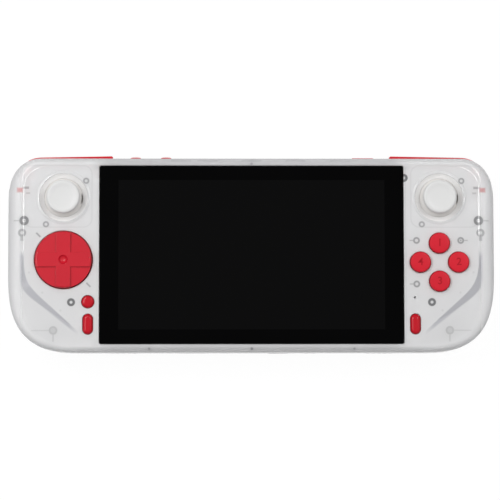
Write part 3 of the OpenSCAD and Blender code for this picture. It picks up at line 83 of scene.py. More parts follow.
# The bowl within it by radius, from the lip up to the crest
RING_BOWL = [(8.95, -1.35), (8.9, -1.2), (9.0, -1.1), (9.4, -0.93), (9.8, -0.73), (10.2, -0.5), (10.5, -0.29),
             (10.75, -0.08), (10.9, 0.06), (11.0, 0.17), (11.1, 0.25), (11.22, 0.305), (11.4, 0.335)]
CAP_D, CAP_TOP, CAP_EDGE, SKIRT_R, SKIRT_T, SKIRT_LOW = 15.4, 14.8, 1.2, 12.0, 1.2, 6.4
PIVOT_Z, SHAFT_R, SHAFT_TOP, SLEEVE_T, CLICK = 16.0, 1.6, 10.6, 1.2, 0.4
PAD_D, PAD_RISE, PAD_EDGE, PAD_GAP, PAD_LIP = 25.9, 2.2, 0.9, 0.46, 0.3
PAD_FLANGE, PAD_FLANGE_T, PAD_UNDER, BALL_Z, BALL_R, BALL_GAP = 1.4, 1.1, 0.1, 21.0, 2.4, 0.06
CROSS_W, CROSS_STEP, CROSS_TILT, DIMPLE_R, DIMPLE_DEEP = 6.5, 0.75, 2.2, 2.4, 1.3

# Buttons and their board
FACE_SPREAD, FACE_D, FACE_RISE, FACE_LOW, FACE_CROWN, FACE_EDGE = 8.75, 9.4, 1.9, 21.05, 0.12, 0.7
SMALL_X, SMALL_RISE, SMALL_LOW = 74.8, 1.0, 20.45
ROUND_Y, ROUND_D, ROUND_CROWN, ROUND_EDGE = -21.6, 5.7, 0.14, 1.3
PILL_Y, PILL_W, PILL_L, PILL_CROWN, PILL_EDGE = -31.8, 4.6, 9.2, 0.1, 1.5
BUTTON_GAP, HOLE_LIP, FLANGE_GAP, FLANGE_W, FLANGE_T, CONTROL_TOP = 0.2, 0.22, 0.3, 1.0, 1.1, 18.5

# Shoulder bars, with an arm to the eye that turns on a pin
BAR_LOW, BAR_TOP, BAR_END, BAR_IN, BAR_GAP, BAR_TURN = 15.6, 20.6, 63.6, 4.2, 0.4, 28.0
BAR_PROUD, BAR_SLANT, BAR_SOFT, BAR_EDGE, BAR_STEPS = 1.2, 0.018, 0.8, 1.2, 16
BAR_PIN_X, BAR_PIN_Y, BAR_EYE_R, EYE_LESS = 61.6, HALF_H - 3.9, 1.8, 0.6
ARM_IN, ARM_PAST, ARM_W = 4.0, 0.3, 2.0
NOTCH_IN, NOTCH_TURN, NOTCH_OUT, NOTCH_STEPS = 7.0, 7.0, 4.0, 14

# Triggers, each on two ears
TRIGGER_END, TRIGGER_GAP, TRIGGER_PROUD, TRIGGER_OUT, TRIGGER_STEPS = 66.0, 0.5, 0.6, 0.4, 60
HINGE_Y, HINGE_Z, NOTCH_Y = 30.0, 12.7, 35.4
EAR_OUTER, EAR_INNER, EAR_R, EAR_T, EAR_GAP = 102.0, 67.4, 2.5, 2.6, 0.3
EAR_REACH, EAR_DOWN, EAR_UP = 2.4, 2.0, 0.4
POST_T, PIN_R, PIN_START, RUN_GAP = 2.2, 1.0, 99.0, 0.05

# Keys in the top edge
KEY_Z, KEY_T, KEY_GAP, KEY_IN = 18.75, 2.4, 0.3, 2.7
KEY_LOW, KEY_HIGH = KEY_Z - KEY_T / 2, KEY_Z + KEY_T / 2
KEY_RIM, KEY_RIM_IN, KEY_RIM_OUT, KEY_RIM_LOW, KEY_RIM_HIGH = 0.9, 0.7, 0.3, 0.5, 0.3
PIVOT_R, PIVOT_L, PIVOT_BORE, PIVOT_BOSS_R, PIVOT_BOSS_GAP = 0.5, 1.2, 1.4, 1.1, 0.5
ROCKER_X, ROCKER_L, ROCKER_SUNK, BUMP_L, BUMP_PROUD, BUMP_FOOT = 46.2, 18.9, 0.2, 4.9, 0.58, 0.5
POWER_X, POWER_L, POWER_PROUD = 51.3, 9.8, 0.35

# Posts, screws and pins: places, radii, and how far the bores stay from a face
POST_LARGE, LARGE_R, LARGE_BORE, LARGE_END = [(104.0, 15.6), (90.6, -34.6)], 3.1, 1.05, 1.3
LARGE_SHAFT, LARGE_HEAD = 1.15, 2.2
POST_SMALL, SMALL_R = [(0, 41.3), (0, -41.3), (46.8, -41.3), (-46.8, -41.3)], 1.75
SMALL_BORE, SMALL_END, SMALL_SHAFT, SMALL_HEAD, POST_PAST = 0.75, 0.3, 0.8, 1.3, 1.5
GUIDE_PINS, GUIDE_R, GUIDE_BORE = [(-10.5, 10.0), (9.8, 10.0), (-10.5, -10.0)], 1.7, 0.8
GUIDE_RIB, GUIDE_RIB_HALF, GUIDE_RIB_UP = 3.4, 0.4, 2.0
STICK_SCREWS, CONTROL_SCREW, FRAME_SCREW = [(10.3, 7.3), (-8.0, -12.7)], (82.8, -21.5), (66.0, 33.2)
BOSS_R, INNER_BORE, SEAT_GAP, STICK_END, THREAD_END = 2.0, 0.85, 0.05, 0.8, 0.5
SIDE_PIN, SIDE_PIN_R = (104.9, 9.3), 1.3
RIB_HALF, RIB_LOW, RIB_LONG, RIB_SHORT = 0.5, Z_SPLIT + 2, 14.0, 9.0
TICK_ANGLES, TICK_START, TICK_END, TICK_UP = (135, 315), 1.9, 4.4, 1.0

# Openings and battery ribs
SOUND_HOLE, SOUND_HOLE_R = (74.6, -19.6), 0.55
PORT_X, PORT_Z, PORT_W, PORT_H, PORT_R = 12.0, 15.6, 9.6, 3.8, 1.8
CARD_X, CARD_HALF, CARD_DEEP, CARD_LOW, CARD_HIGH = -27.0, 6.1, 2.0, 15.8, 17.3
JACK_X, JACK_Z, JACK_R = 27.0, 14.0, 2.5
VENT_X, VENT_SLOTS, VENT_PITCH = [-32.3, -20.2, 20.2, 40.7], 4, 2.0
VENT_W, VENT_DEEP, VENT_LOW, VENT_HIGH = 1.24, 8.0, 11.6, 15.8
SPEAKER_X, SPEAKER_SLOTS, SPEAKER_PITCH = 52.95, 5, 2.6
SPEAKER_W, SPEAKER_LOW, SPEAKER_HIGH = 1.2, 12.9, 15.7
FAN_X, FAN_Y, FAN_SLOTS, FAN_PITCH, FAN_LESS = 37.0, 10.0, 6, 4.2, 3.0
FAN_SLOT_W, FAN_SLOT_L, FAN_SLOT_R = 1.8, 22.0, 0.89
CELL_X, CELL_LONG, CELL_SHORT = -33.0, 62 / 3, 16.0
CELL_RIB_T, CELL_RIB_H, CELL_RIB_Y, CELL_RIB_X = 1.5, 3.0, (-25.8, 24.3), (-65.8, -1.7)


# Outline of the case, as in the solids
def smooth(t):
    t = min(max(t, 0.0), 1.0)
    return t * t * (3 - 2 * t)


def mix(a, b, t):
    return a + (b - a) * t


def corner_point(sx, sy, phi, ix, iy):
    w, h, square = TOP_CORNER if sy > 0 else LOW_CORNER
    ax, ay, power = max(w - ix, LEAST_CORNER), max(h - iy, LEAST_CORNER), 2 / square
    c, s = max(math.cos(math.radians(phi)), 0.0), max(math.sin(math.radians(phi)), 0.0)
    return (sx * (HALF_W - ix - ax + ax * c ** power), sy * (HALF_H - iy - ay + ay * s ** power))


CORNER_STEPS, LONG_STEPS, SIDE_STEPS, ARC_STEPS = 42, 24, 10, 12


def corner(sx, sy, start, end, ix, iy):
    return [corner_point(sx, sy, mix(start, end, j / CORNER_STEPS), ix, iy) for j in range(CORNER_STEPS + 1)]


def between(a, b, n):
    return [tuple(mix(a[i], b[i], (j + 1) / (n + 1)) for i in (0, 1)) for j in range(n)]


def closed(tr, tl, bl, br):
    return (tr + between(tr[-1], tl[0], LONG_STEPS) + tl + between(tl[-1], bl[0], SIDE_STEPS)
            + bl + between(bl[-1], br[0], LONG_STEPS) + br + between(br[-1], tr[0], SIDE_STEPS))


def outline(ix, iy):
    return closed(corner(1, 1, 0, 90, ix, iy), corner(-1, 1, 90, 0, ix, iy),
                  corner(-1, -1, 0, 90, ix, iy), corner(1, -1, 90, 0, ix, iy))


# The crease that cuts off the lower corners of the raised face
BEND_REACH, FOOT_REACH = 9.0, 10.0
CREASE_BEND = Vector((HALF_W - PLATEAU_SIDE, -12.5))
CREASE_FOOT = Vector((73.0, PLATEAU_TOP - HALF_H))
CREASE_START = Vector((HALF_W - PLATEAU_SIDE, 1.7))
CREASE_END = CREASE_BEND + 0.75 * (CREASE_FOOT - CREASE_BEND)
CREASE_OUT = Vector((-(CREASE_END - CREASE_START)[1], (CREASE_END - CREASE_START)[0])).normalized()


def bend(a, b, c, t):
    return a.lerp(b, t).lerp(b.lerp(c, t), t)


def crease_corner(sx, inset):
    b, c, third = CREASE_BEND - Vector((inset, 0)), CREASE_FOOT + Vector((0, inset)), CORNER_STEPS // 3
    d = (c - b).normalized()
    start, end = b + BEND_REACH * d, c - FOOT_REACH * d
    made = [bend(b + Vector((0, BEND_REACH)), b, start, j / third) for j in range(third + 1)]
    made += [start.lerp(end, j / third) for j in range(1, third)]
    made += [bend(end, c, c - Vector((FOOT_REACH, 0)), j / third) for j in range(third + 1)]
    return [(sx * p[0], p[1]) for p in made]


def plateau_corner(sx, inset):
    """An upper corner of the raised face, from its side to its top."""
    w, h, square = PLATEAU_CORNER
    made = []
    for j in range(CORNER_STEPS + 1):
        a = math.radians(90 * j / CORNER_STEPS)
        c, s = max(math.cos(a), 0.0) ** (2 / square), max(math.sin(a), 0.0) ** (2 / square)
        x, y = HALF_W - PLATEAU_SIDE - w + (w - inset) * c, HALF_H - PLATEAU_TOP - h + (h - inset) * s
        made.append((sx * x, y))
    return made


def plateau(inset):
    return closed(plateau_corner(1, inset), plateau_corner(-1, inset)[::-1],
                  crease_corner(-1, inset), crease_corner(1, inset)[::-1])


def outward(points):
    """Unit vectors square to a closed line, away from its inside."""
    ends = zip(points[-1:] + points[:-1], points[1:] + points[:1])
    return [Vector((b[1] - a[1], a[0] - b[0])).normalized() for a, b in ends]


def meets(p, way, rail):
    """How far from p along its way the closed rail lies, and where on it, as an index with a fraction."""
    best = (1e9, 0.0)
    for j, (a, b) in enumerate(zip(rail, rail[1:] + rail[:1])):
        ex, ey, qx, qy = b[0] - a[0], b[1] - a[1], a[0] - p[0], a[1] - p[1]
        across = way[0] * ey - way[1] * ex
        if abs(across) > 1e-9:
            far, part = (qx * ey - qy * ex) / across, (qx * way[1] - qy * way[0]) / across
            if 0 < far < best[0] and -1e-9 <= part <= 1:
                best = (far, j + max(part, 0.0))
    return best


def along(rail, where):
    j = int(where)
    a, b = rail[j % len(rail)], rail[(j + 1) % len(rail)]
    return mix(a[0], b[0], where - j), mix(a[1], b[1], where - j)


def drop(p):
    return CREASE_SLOPE * max(0.0, (Vector((abs(p[0]), p[1])) - CREASE_START).dot(CREASE_OUT))


def step(p):
    """The fine step around the upper part of the face."""
    return RIM_STEP * smooth((p[1] - STEP_START) / STEP_BLEND)


def lift(points, z):
    return [(p[0], p[1], z) for p in points]


def front_rings(inset, low):
    top = plateau(inset)
    way, rail = outward(top), outline(inset + EDGE_SIDE, inset + EDGE_TOP)
    hits = [meets(t, w, rail) for t, w in zip(top, way)]

    def ring(share):
        rail = outline(inset + EDGE_SIDE * share, inset + EDGE_TOP * share)
        return [along(rail, where) for room, where in hits]

    edge, rings = ring(1), [lift(ring(0), low)]
    for k in range(ARC_STEPS + 1):
        a = math.radians(90 * k / ARC_STEPS)
        rings.append([(p[0], p[1], mix(SIDE_TOP, Z_FRONT - step(e) - inset - drop(e), math.sin(a)))
                      for p, e in zip(ring(1 - math.cos(a)), edge)])
    facet = []
    for t, w, (room, where) in zip(top, way, hits):
        steep = FACET_SLOPE - CREASE_SLOPE * Vector((abs(w[0]), w[1])).dot(CREASE_OUT)
        p = Vector(t) + min(max(RIM_BAND, drop(t) / steep), RIM_SHARE * room) * w
        facet.append((p[0], p[1], Z_FRONT - step(t) - inset - drop(p)))
    return rings + [facet, lift(top, Z_FRONT - inset)]


def grip(p):
    return (GRIP_DEPTH * smooth((abs(p[0]) - GRIP_START) / GRIP_BLEND)
            * smooth((p[1] - GRIP_LOW) / GRIP_LOW_BLEND) * smooth((GRIP_HIGH - p[1]) / GRIP_HIGH_BLEND))


# Insets of the rings across the back, from its middle outwards
BACK_RINGS = [38, 36.5, 35, 33.5, 32, 30.5, 29, 27, 25, 23, 21, 19, 17, 15, 13, 11, 9.3, 7.6, 6, 4.8, 3.6,
              2.5, 1.2]


def rear_rings(inset, high):
    foot = outline(inset + BACK_SIDE, inset + BACK_TOP)
    rings = []
    for d in BACK_RINGS:
        ring = outline(inset + BACK_SIDE + d, inset + BACK_TOP + d)
        rings.append([(p[0], p[1], Z_REAR + inset - grip(p)) for p in ring])
    for k in range(ARC_STEPS, -1, -1):
        a = math.radians(90 * k / ARC_STEPS)
        ring = outline(inset + BACK_SIDE * (1 - math.cos(a)), inset + BACK_TOP * (1 - math.cos(a)))
        rings.append([(p[0], p[1], mix(SIDE_LOW, Z_REAR + inset - grip(f), math.sin(a)))
                      for p, f in zip(ring, foot)])
    return rings + [lift(outline(inset, inset), high)]


# Mesh building
def add(name, data):
    """A new object in the scene."""
    made = bpy.data.objects.new(name, data)
    scene.collection.objects.link(made)
    return made


def shown_mesh(made):
    """A new mesh of the object as it shows, with its modifiers."""
    return bpy.data.meshes.new_from_object(made.evaluated_get(bpy.context.evaluated_depsgraph_get()))


def solid(name, points, faces):
    """An object of these points, in millimetres about the case's middle, with its faces turned outwards."""
    mesh = bpy.data.meshes.new(name)
    mesh.from_pydata([(x * MM, (y + MID_Y) * MM, z * MM) for x, y, z in points], [], faces)
    bm = bmesh.new()
    bm.from_mesh(mesh)
    bmesh.ops.remove_doubles(bm, verts=bm.verts, dist=1e-7)
    bmesh.ops.recalc_face_normals(bm, faces=bm.faces)
    bm.to_mesh(mesh)
    bm.free()
    return add(name, mesh)


def loft(name, rings, tip=None):
    """A closed solid through rings of equal count; its ends are flat, or the first is a fan to the tip."""
    n, points = len(rings[0]), [p for r in rings for p in r]
    last = len(points) - n
    faces = [(k + j, k + (j + 1) % n, k + n + (j + 1) % n, k + n + j)
             for k in range(0, last, n) for j in range(n)]
    if tip:
        faces += [(len(points), j, (j + 1) % n) for j in range(n)]
        points.append(tip)
    else:
        faces.append(list(range(n)))
    faces.append(list(range(last, last + n)))
    return solid(name, points, faces)


def prism(points, z0, z1, name="tool"):
    return loft(name, [lift(points, z0), lift(points, z1)])


def rect(x0, x1, y0, y1, z0, z1):
    """A block, whose ends along X may come in either order."""
    x0, x1 = sorted((x0, x1))
    return prism([(x0, y0), (x1, y0), (x1, y1), (x0, y1)], z0, z1)


def circle(x, y, r, n=64):
    return [(x + r * math.cos(2 * math.pi * j / n), y + r * math.sin(2 * math.pi * j / n)) for j in range(n)]


def rod(x, y, r, z0, z1, n=64):
    return prism(circle(x, y, r, n), z0, z1)


def rod_x(y, z, r, x0, x1, n=40):
    return loft("tool", [[(x, y + a, z + b) for a, b in circle(0, 0, r, n)] for x in sorted((x0, x1))])


def rod_y(x, z, r, y0, y1):
    return loft("tool", [[(x + a, y, z + b) for a, b in circle(0, 0, r, 40)] for y in (y0, y1)])


def arc(cx, cy, r, a0, a1, n):
    angles = [math.radians(mix(a0, a1, j / n)) for j in range(n + 1)]
    return [(cx + r * math.cos(a), cy + r * math.sin(a)) for a in angles]


def rounded(w, h, r):
    x, y = w / 2 - r, h / 2 - r
    return (arc(x, y, r, 0, 90, 8) + arc(-x, y, r, 90, 180, 8)
            + arc(-x, -y, r, 180, 270, 8) + arc(x, -y, r, 270, 360, 8))


def shifted(points, x, y):
    return [(p[0] + x, p[1] + y) for p in points]


def plate(w, h, r, z0, z1):
    return prism(rounded(w, h, r), z0, z1)


def pill(w, length):
    half = (length - w) / 2
    return arc(0, half, w / 2, 0, 180, 24) + arc(0, -half, w / 2, 180, 360, 24)


def lathe(name, profile, x, y, n=96):
    """Turns a closed profile of (radius, height) about a vertical axis."""
    points, faces, index = [], [], []
    for r, z in profile:
        if r < 1e-6:
            index.append([len(points)] * n)
            points.append((x, y, z))
        else:
            index.append(list(range(len(points), len(points) + n)))
            points += lift(circle(x, y, r, n), z)
    count = len(profile)
    for k in range(count):
        a, b = index[k], index[(k + 1) % count]
        for j in range(n):
            ring = [a[j], a[(j + 1) % n], b[(j + 1) % n], b[j]]
            face = [v for i, v in enumerate(ring) if v not in ring[:i]]
            if len(face) > 2:
                faces.append(face)
    return solid(name, points, faces)


def mesh_of(made):
    """The object's own mesh with its modifiers applied."""
    fresh = shown_mesh(made)
    made.modifiers.clear()
    old, made.data = made.data, fresh
    bpy.data.meshes.remove(old)
    return made


def combine(made, tools, operation):
    """One Boolean of the object with all tools, which are used up."""
    group = bpy.data.collections.new("tools")
    scene.collection.children.link(group)
    for t in tools:
        group.objects.link(t)
    step = made.modifiers.new("combine", "BOOLEAN")
    step.operation, step.solver = operation, "MANIFOLD"
    step.operand_type, step.collection = "COLLECTION", group
    mesh_of(made)
    for t in tools:
        bpy.data.objects.remove(t)
    bpy.data.collections.remove(group)
    return made


def turn(made, angle, axis, centre):
    c = Vector((centre[0] * MM, (centre[1] + MID_Y) * MM, centre[2] * MM))
    rotation = Matrix.Rotation(math.radians(angle), 4, Vector(axis))
    made.data.transform(Matrix.Translation(c) @ rotation @ Matrix.Translation(-c))
    return made


def mirrored(made, name):
    """A copy on the other side."""
    twin = made.copy()
    twin.data = made.data.copy()
    twin.name = name
    twin.data.transform(Matrix.Scale(-1, 4, Vector((1, 0, 0))))
    twin.data.flip_normals()
    scene.collection.objects.link(twin)
    return twin


def finish_mesh(made, sharp=32.0, bevel=0.0, segments=2, limit=30.0):
    """Rounds the edges, shades smooth up to the sharp angle, and keeps the large faces looking flat."""
    if bevel:
        step = made.modifiers.new("bevel", "BEVEL")
        step.width, step.segments, step.limit_method = bevel * MM, segments, "ANGLE"
        step.angle_limit = math.radians(limit)
        step.use_clamp_overlap = True
        mesh_of(made)
    for p in made.data.polygons:
        p.use_smooth = True
    made.data.set_sharp_from_angle(angle=math.radians(sharp))
    step = made.modifiers.new("normals", "WEIGHTED_NORMAL")
    step.keep_sharp, step.weight = True, 60
    return mesh_of(made)


# Materials
def shader(name, base, spread, scale, rough, rough_spread=0.05, bump=0.0, bump_scale=900.0, **sockets):
    """A moulded surface: cloudy colour, uneven gloss and a fine grain, on one Principled shader."""
    mat = bpy.data.materials.new(name)
    mat.use_nodes = True
    nodes, links = mat.node_tree.nodes, mat.node_tree.links
    bsdf = nodes["Principled BSDF"]
    coord = nodes.new("ShaderNodeTexCoord")
    cloud = nodes.new("ShaderNodeTexNoise")
    cloud.inputs["Scale"].default_value, cloud.inputs["Detail"].default_value = scale, 4.0
    links.new(coord.outputs["Object"], cloud.inputs["Vector"])
    ramp = nodes.new("ShaderNodeValToRGB")
    ramp.color_ramp.elements[0].position, ramp.color_ramp.elements[1].position = 0.3, 0.7
    ramp.color_ramp.elements[0].color = [max(c * (1 - spread), 0) for c in base] + [1]
    ramp.color_ramp.elements[1].color = [min(c * (1 + spread), 1) for c in base] + [1]
    links.new(cloud.outputs["Fac"], ramp.inputs["Fac"])
    links.new(ramp.outputs["Color"], bsdf.inputs["Base Color"])
    gloss = nodes.new("ShaderNodeMapRange")
    gloss.inputs["To Min"].default_value = max(rough - rough_spread, 0)
    gloss.inputs["To Max"].default_value = min(rough + rough_spread, 1)
    links.new(cloud.outputs["Fac"], gloss.inputs["Value"])
    links.new(gloss.outputs["Result"], bsdf.inputs["Roughness"])
    if bump:
        grain = nodes.new("ShaderNodeTexNoise")
        grain.inputs["Scale"].default_value, grain.inputs["Detail"].default_value = bump_scale, 3.0
        links.new(coord.outputs["Object"], grain.inputs["Vector"])
        bumps = nodes.new("ShaderNodeBump")
        bumps.inputs["Strength"].default_value, bumps.inputs["Distance"].default_value = bump, 0.0001
        links.new(grain.outputs["Fac"], bumps.inputs["Height"])
        links.new(bumps.outputs["Normal"], bsdf.inputs["Normal"])
    for socket, value in sockets.items():
        bsdf.inputs[socket.replace("_", " ")].default_value = value
    return mat


def milky(name, base=(0.96, 0.96, 0.965), clear=0.42):
    return shader(name, base, 0.01, 60.0, 0.10, 0.02, Transmission_Weight=clear, IOR=1.4,
                  Specular_IOR_Level=0.3, Coat_Weight=0.2, Coat_Roughness=0.04)


RED = shader("red_satin", (0.60, 0.009, 0.024), 0.04, 120.0, 0.45, 0.04, bump=0.04, bump_scale=2600.0,
             IOR=1.45, Specular_IOR_Level=0.25)
RED_PAD = shader("red_pad", (0.54, 0.006, 0.020), 0.03, 120.0, 0.42, 0.04, bump=0.02, bump_scale=2600.0,
                 IOR=1.45, Specular_IOR_Level=0.15, Coat_Weight=0.6, Coat_Roughness=0.03)
RED_GLOSS = shader("red_gloss", (0.50, 0.002, 0.012), 0.03, 120.0, 0.22, 0.03, IOR=1.45,
                   Specular_IOR_Level=0.05, Coat_Weight=0.55, Coat_Roughness=0.04)
RED_INK = shader("numeral_ink", (0.40, 0.004, 0.012), 0.04, 200.0, 0.5, 0.05, Specular_IOR_Level=0.15)
WHITE = shader("white_satin", (0.68, 0.68, 0.675), 0.012, 90.0, 0.42, 0.06, bump=0.04, bump_scale=3000.0)
DARK = shader("dark_plastic", (0.03, 0.03, 0.032), 0.1, 150.0, 0.5)
STEEL = shader("plain_steel", (0.42, 0.43, 0.45), 0.06, 220.0, 0.34, 0.08, Metallic=1.0)
PLATE = shader("plated_sheet", (0.80, 0.80, 0.80), 0.03, 200.0, 0.5, 0.06, Metallic=0.2)
MASK = shader("pale_board", (0.72, 0.73, 0.72), 0.03, 160.0, 0.45)
RUBBER = shader("pale_rubber", (0.70, 0.71, 0.72), 0.03, 140.0, 0.7)
COPPER = shader("copper", (0.72, 0.42, 0.27), 0.06, 180.0, 0.32, 0.08, Metallic=1.0)
RIBBON = shader("ribbon_film", (0.42, 0.23, 0.08), 0.08, 200.0, 0.4)
POUCH = shader("pouch_foil", (0.42, 0.43, 0.45), 0.05, 120.0, 0.4, 0.1, Metallic=0.7)
PANEL = shader("dark_panel", (0.02, 0.02, 0.022), 0.1, 100.0, 0.4)


def sums(operation, *values):
    """One Math node on sockets and numbers, of which the first is a socket."""
    tree = values[0].id_data
    node = tree.nodes.new("ShaderNodeMath")
    node.operation = operation
    for socket, value in zip(node.inputs, values):
        if isinstance(value, (int, float)):
            socket.default_value = value
        else:
            tree.links.new(value, socket)
    return node.outputs[0]


def vectors(operation, *values):
    """One Vector Math node on sockets and triples, of which the first is a socket."""
    tree = values[0].id_data
    node = tree.nodes.new("ShaderNodeVectorMath")
    node.operation = operation
    for socket, value in zip(node.inputs, values):
        if isinstance(value, tuple):
            socket.default_value = value
        else:
            tree.links.new(value, socket)
    return node.outputs["Value" if operation in ("DISTANCE", "LENGTH") else "Vector"]


def split(vector):
    node = vector.id_data.nodes.new("ShaderNodeSeparateXYZ")
    vector.id_data.links.new(vector, node.inputs["Vector"])
    return node.outputs


def chain(operation, values):
    """One Math node after another over all the values."""
    made = values[0]
    for value in values[1:]:
        made = sums(operation, made, value)
    return made


def minus(value):
    return sums("MULTIPLY", value, -1.0)


def absolute(value):
    return sums("ABSOLUTE", value)


def fade(value, start, end, high=1.0):
    """Goes from high at start to nothing at end."""
    node = value.id_data.nodes.new("ShaderNodeMapRange")
    for word, number in (("From Min", start), ("From Max", end), ("To Min", high), ("To Max", 0.0)):
        node.inputs[word].default_value = number
    value.id_data.links.new(value, node.inputs["Value"])
    return node.outputs["Result"]


def tint(mat, mask, colour):
    """Blends the colour over the base colour where the mask is set."""
    tree = mat.node_tree
    base = tree.nodes["Principled BSDF"].inputs["Base Color"]
    blend = tree.nodes.new("ShaderNodeMix")
    blend.data_type = "RGBA"
    tree.links.new(mask, blend.inputs["Factor"])
    tree.links.new(base.links[0].from_socket, blend.inputs["A"])
    blend.inputs["B"].default_value = (*colour, 1)
    tree.links.new(blend.outputs["Result"], base)


def object_place(mat):
    return next(n for n in mat.node_tree.nodes if n.type == "TEX_COORD").outputs["Object"]


def in_plan(mat):
    """Place on the face in millimetres about the case's middle, and the same folded onto the right half."""
    tree = mat.node_tree
    flat = vectors("MULTIPLY_ADD", object_place(mat), (1 / MM, 1 / MM, 0.0), (0.0, -MID_Y, 0.0))
    axes = split(flat)
    fold = tree.nodes.new("ShaderNodeCombineXYZ")
    tree.links.new(absolute(axes["X"]), fold.inputs["X"])
    tree.links.new(axes["Y"], fold.inputs["Y"])
    return flat, fold.outputs["Vector"]


def box_reach(where, x, y, w, h):
    """Distance outside a box of these half sizes, negative within."""
    off = vectors("ABSOLUTE", vectors("SUBTRACT", where, (x, y, 0.0)))
    axes = split(vectors("SUBTRACT", off, (w, h, 0.0)))
    return sums("MAXIMUM", axes["X"], axes["Y"])


def black_glass():
    """Polished black-backed glass; the lit area of the panel is a shade lighter than its border."""
    mat = shader("black_glass", (0.0007, 0.0007, 0.0008), 0.2, 40.0, 0.06, 0.02, IOR=1.45,
                 Specular_IOR_Level=0.04)
    lit = box_reach(in_plan(mat)[1], 0.0, 0.0, LIT_HALF_W, LIT_HALF_H)
    tint(mat, fade(lit, -0.1, 0.1), (0.0026, 0.0026, 0.0027))
    return mat


# Painted shade of posts, pins and screws seen through the face: place, radius of the ring, half its width,
# strength
RINGS_BOTH = [(104.0, 15.6, 1.5, 0.68, 0.72), (104.9, 10.0, 1.35, 0.55, 0.5), (90.6, -34.6, 0.0, 1.8, 0.16),
              (90.6, -34.6, 1.5, 0.45, 0.26), (82.4, -21.8, 1.25, 0.58, 0.85), (101.6, -8.2, 0.0, 0.5, 0.12),
              (95.5, -17.4, 0.0, 0.5, 0.12), (87.2, -25.6, 0.0, 0.5, 0.12), (0.0, 41.8, 0.0, 0.6, 0.8),
              (0.0, -43.0, 0.0, 0.6, 0.85), (46.8, -43.0, 0.0, 0.55, 0.6)]
RINGS_ONE = ([(s * WING_X + x, STICK_Y + y + 0.4, 1.05, 0.4, 0.5) for s in SIDES for x, y in STICK_SCREWS]
             + [(WING_X + x, FACE_Y + y, 1.15, 0.42, 0.55) for x, y in GUIDE_PINS]
             + [(WING_X + 9.8, FACE_Y + 10.0, 0.0, 0.4, 0.5), (69.8, 35.3, 1.3, 0.6, 0.9)])
# Painted shade of ribs, stems and vents seen through the face: place, half sizes, strength
BARS_BOTH = [(104.0, 15.6, 1.0, 0.18, 0.4), (70.6, 0.0, 0.15, 40.0, 0.12), (107.3, 15.6, 1.5, 0.25, 0.35),
             (104.9, 7.5, 0.75, 1.2, 0.4), (96.4, -34.6, 4.2, 0.25, 0.16), (90.6, -38.1, 0.3, 1.6, 0.2),
             (103.2, 30.7, 1.4, 0.55, 0.5), (102.2, 28.2, 0.9, 0.4, 0.3)]
BARS_ONE = ([(WING_X + x + math.copysign(2.4, x), FACE_Y + y, 0.8, 0.25, 0.4) for x, y in GUIDE_PINS]
            + [(x, 43.3, 4.6, 0.45, 0.3) for x in VENT_X + [0.0]])
# Softness and tone of the painted shade of what stands close under the face
SEEN_THROUGH_BLUR, SEEN_THROUGH_SHADE_TONE = 0.15, (0.16, 0.16, 0.17)
# The start, the end and the strength of each fade below stand in that order
# Painted shade of the edge of the square plate around each stick, seen through the face: middle and half
# sizes, rounding of its corners
PLATE_EDGE, PLATE_ROUND, PLATE_FADE = (88.6, 26.75, 15.6, 14.15), 4.0, (0.1, 0.45, 0.10)
# Painted shade of the ticks beside the cross pad, seen through the face: distance from its middle, half
# length and half width
TICK_MARK, TICK_FADE = (16.2, 0.0, 1.3, 0.35), (-0.15, 0.2, 0.5)
# Red bit of the trigger spring, painted on the face as it shows through it: middle and half sizes
SPRING_MARK, SPRING_FADE, SPRING_TONE = (106.0, 29.7, 1.3, 1.0), (-0.4, 0.4, 0.6), (0.7, 0.12, 0.12)
# Edges of the crescent of painted shade about the crease's bend: side, two points of the slope, softness
CRESCENT_IN = (0.0, (0.0, 0.0), CREASE_FOOT - CREASE_BEND, 9.6)
CRESCENT_OUT = (1.8, (-1.5, -5.8), (-14.3, -16.0), 6.0)
# Its fades at both edges, at its upper end and at its inner end
CRESCENT_FADES = ((-0.35, 0.15, 0.9), (-0.5, 0.3), (11.5, 14.5), (20.5, 25.0))
# Colours of the painted shade on the crescents outside the creases and on the rims
CREASE_SHADE_TONE, RIM_SHADE_TONE = (0.68, 0.68, 0.72), (0.60, 0.60, 0.61)
# Painted shade on the rims beside the glass: where it starts, how far it reaches along them, strengths above
# and below
LONG_RIM, LONG_RIM_END, LONG_RIM_TOP, LONG_RIM_LOW = (-39.6, -38.4), (64.0, 74.0), 0.64, 0.42
# Painted shade where the face turns down, by how level it is; room around the stick rings
TURN_FADE, RING_CLEAR = (0.3, 0.97, 0.55), 0.6
# The sides are less polished: where that starts and ends, how much rougher they are
SIDE_FADE = (EDGE_SIDE - HALF_W - 0.4, EDGE_SIDE - HALF_W + 0.2, 0.4)


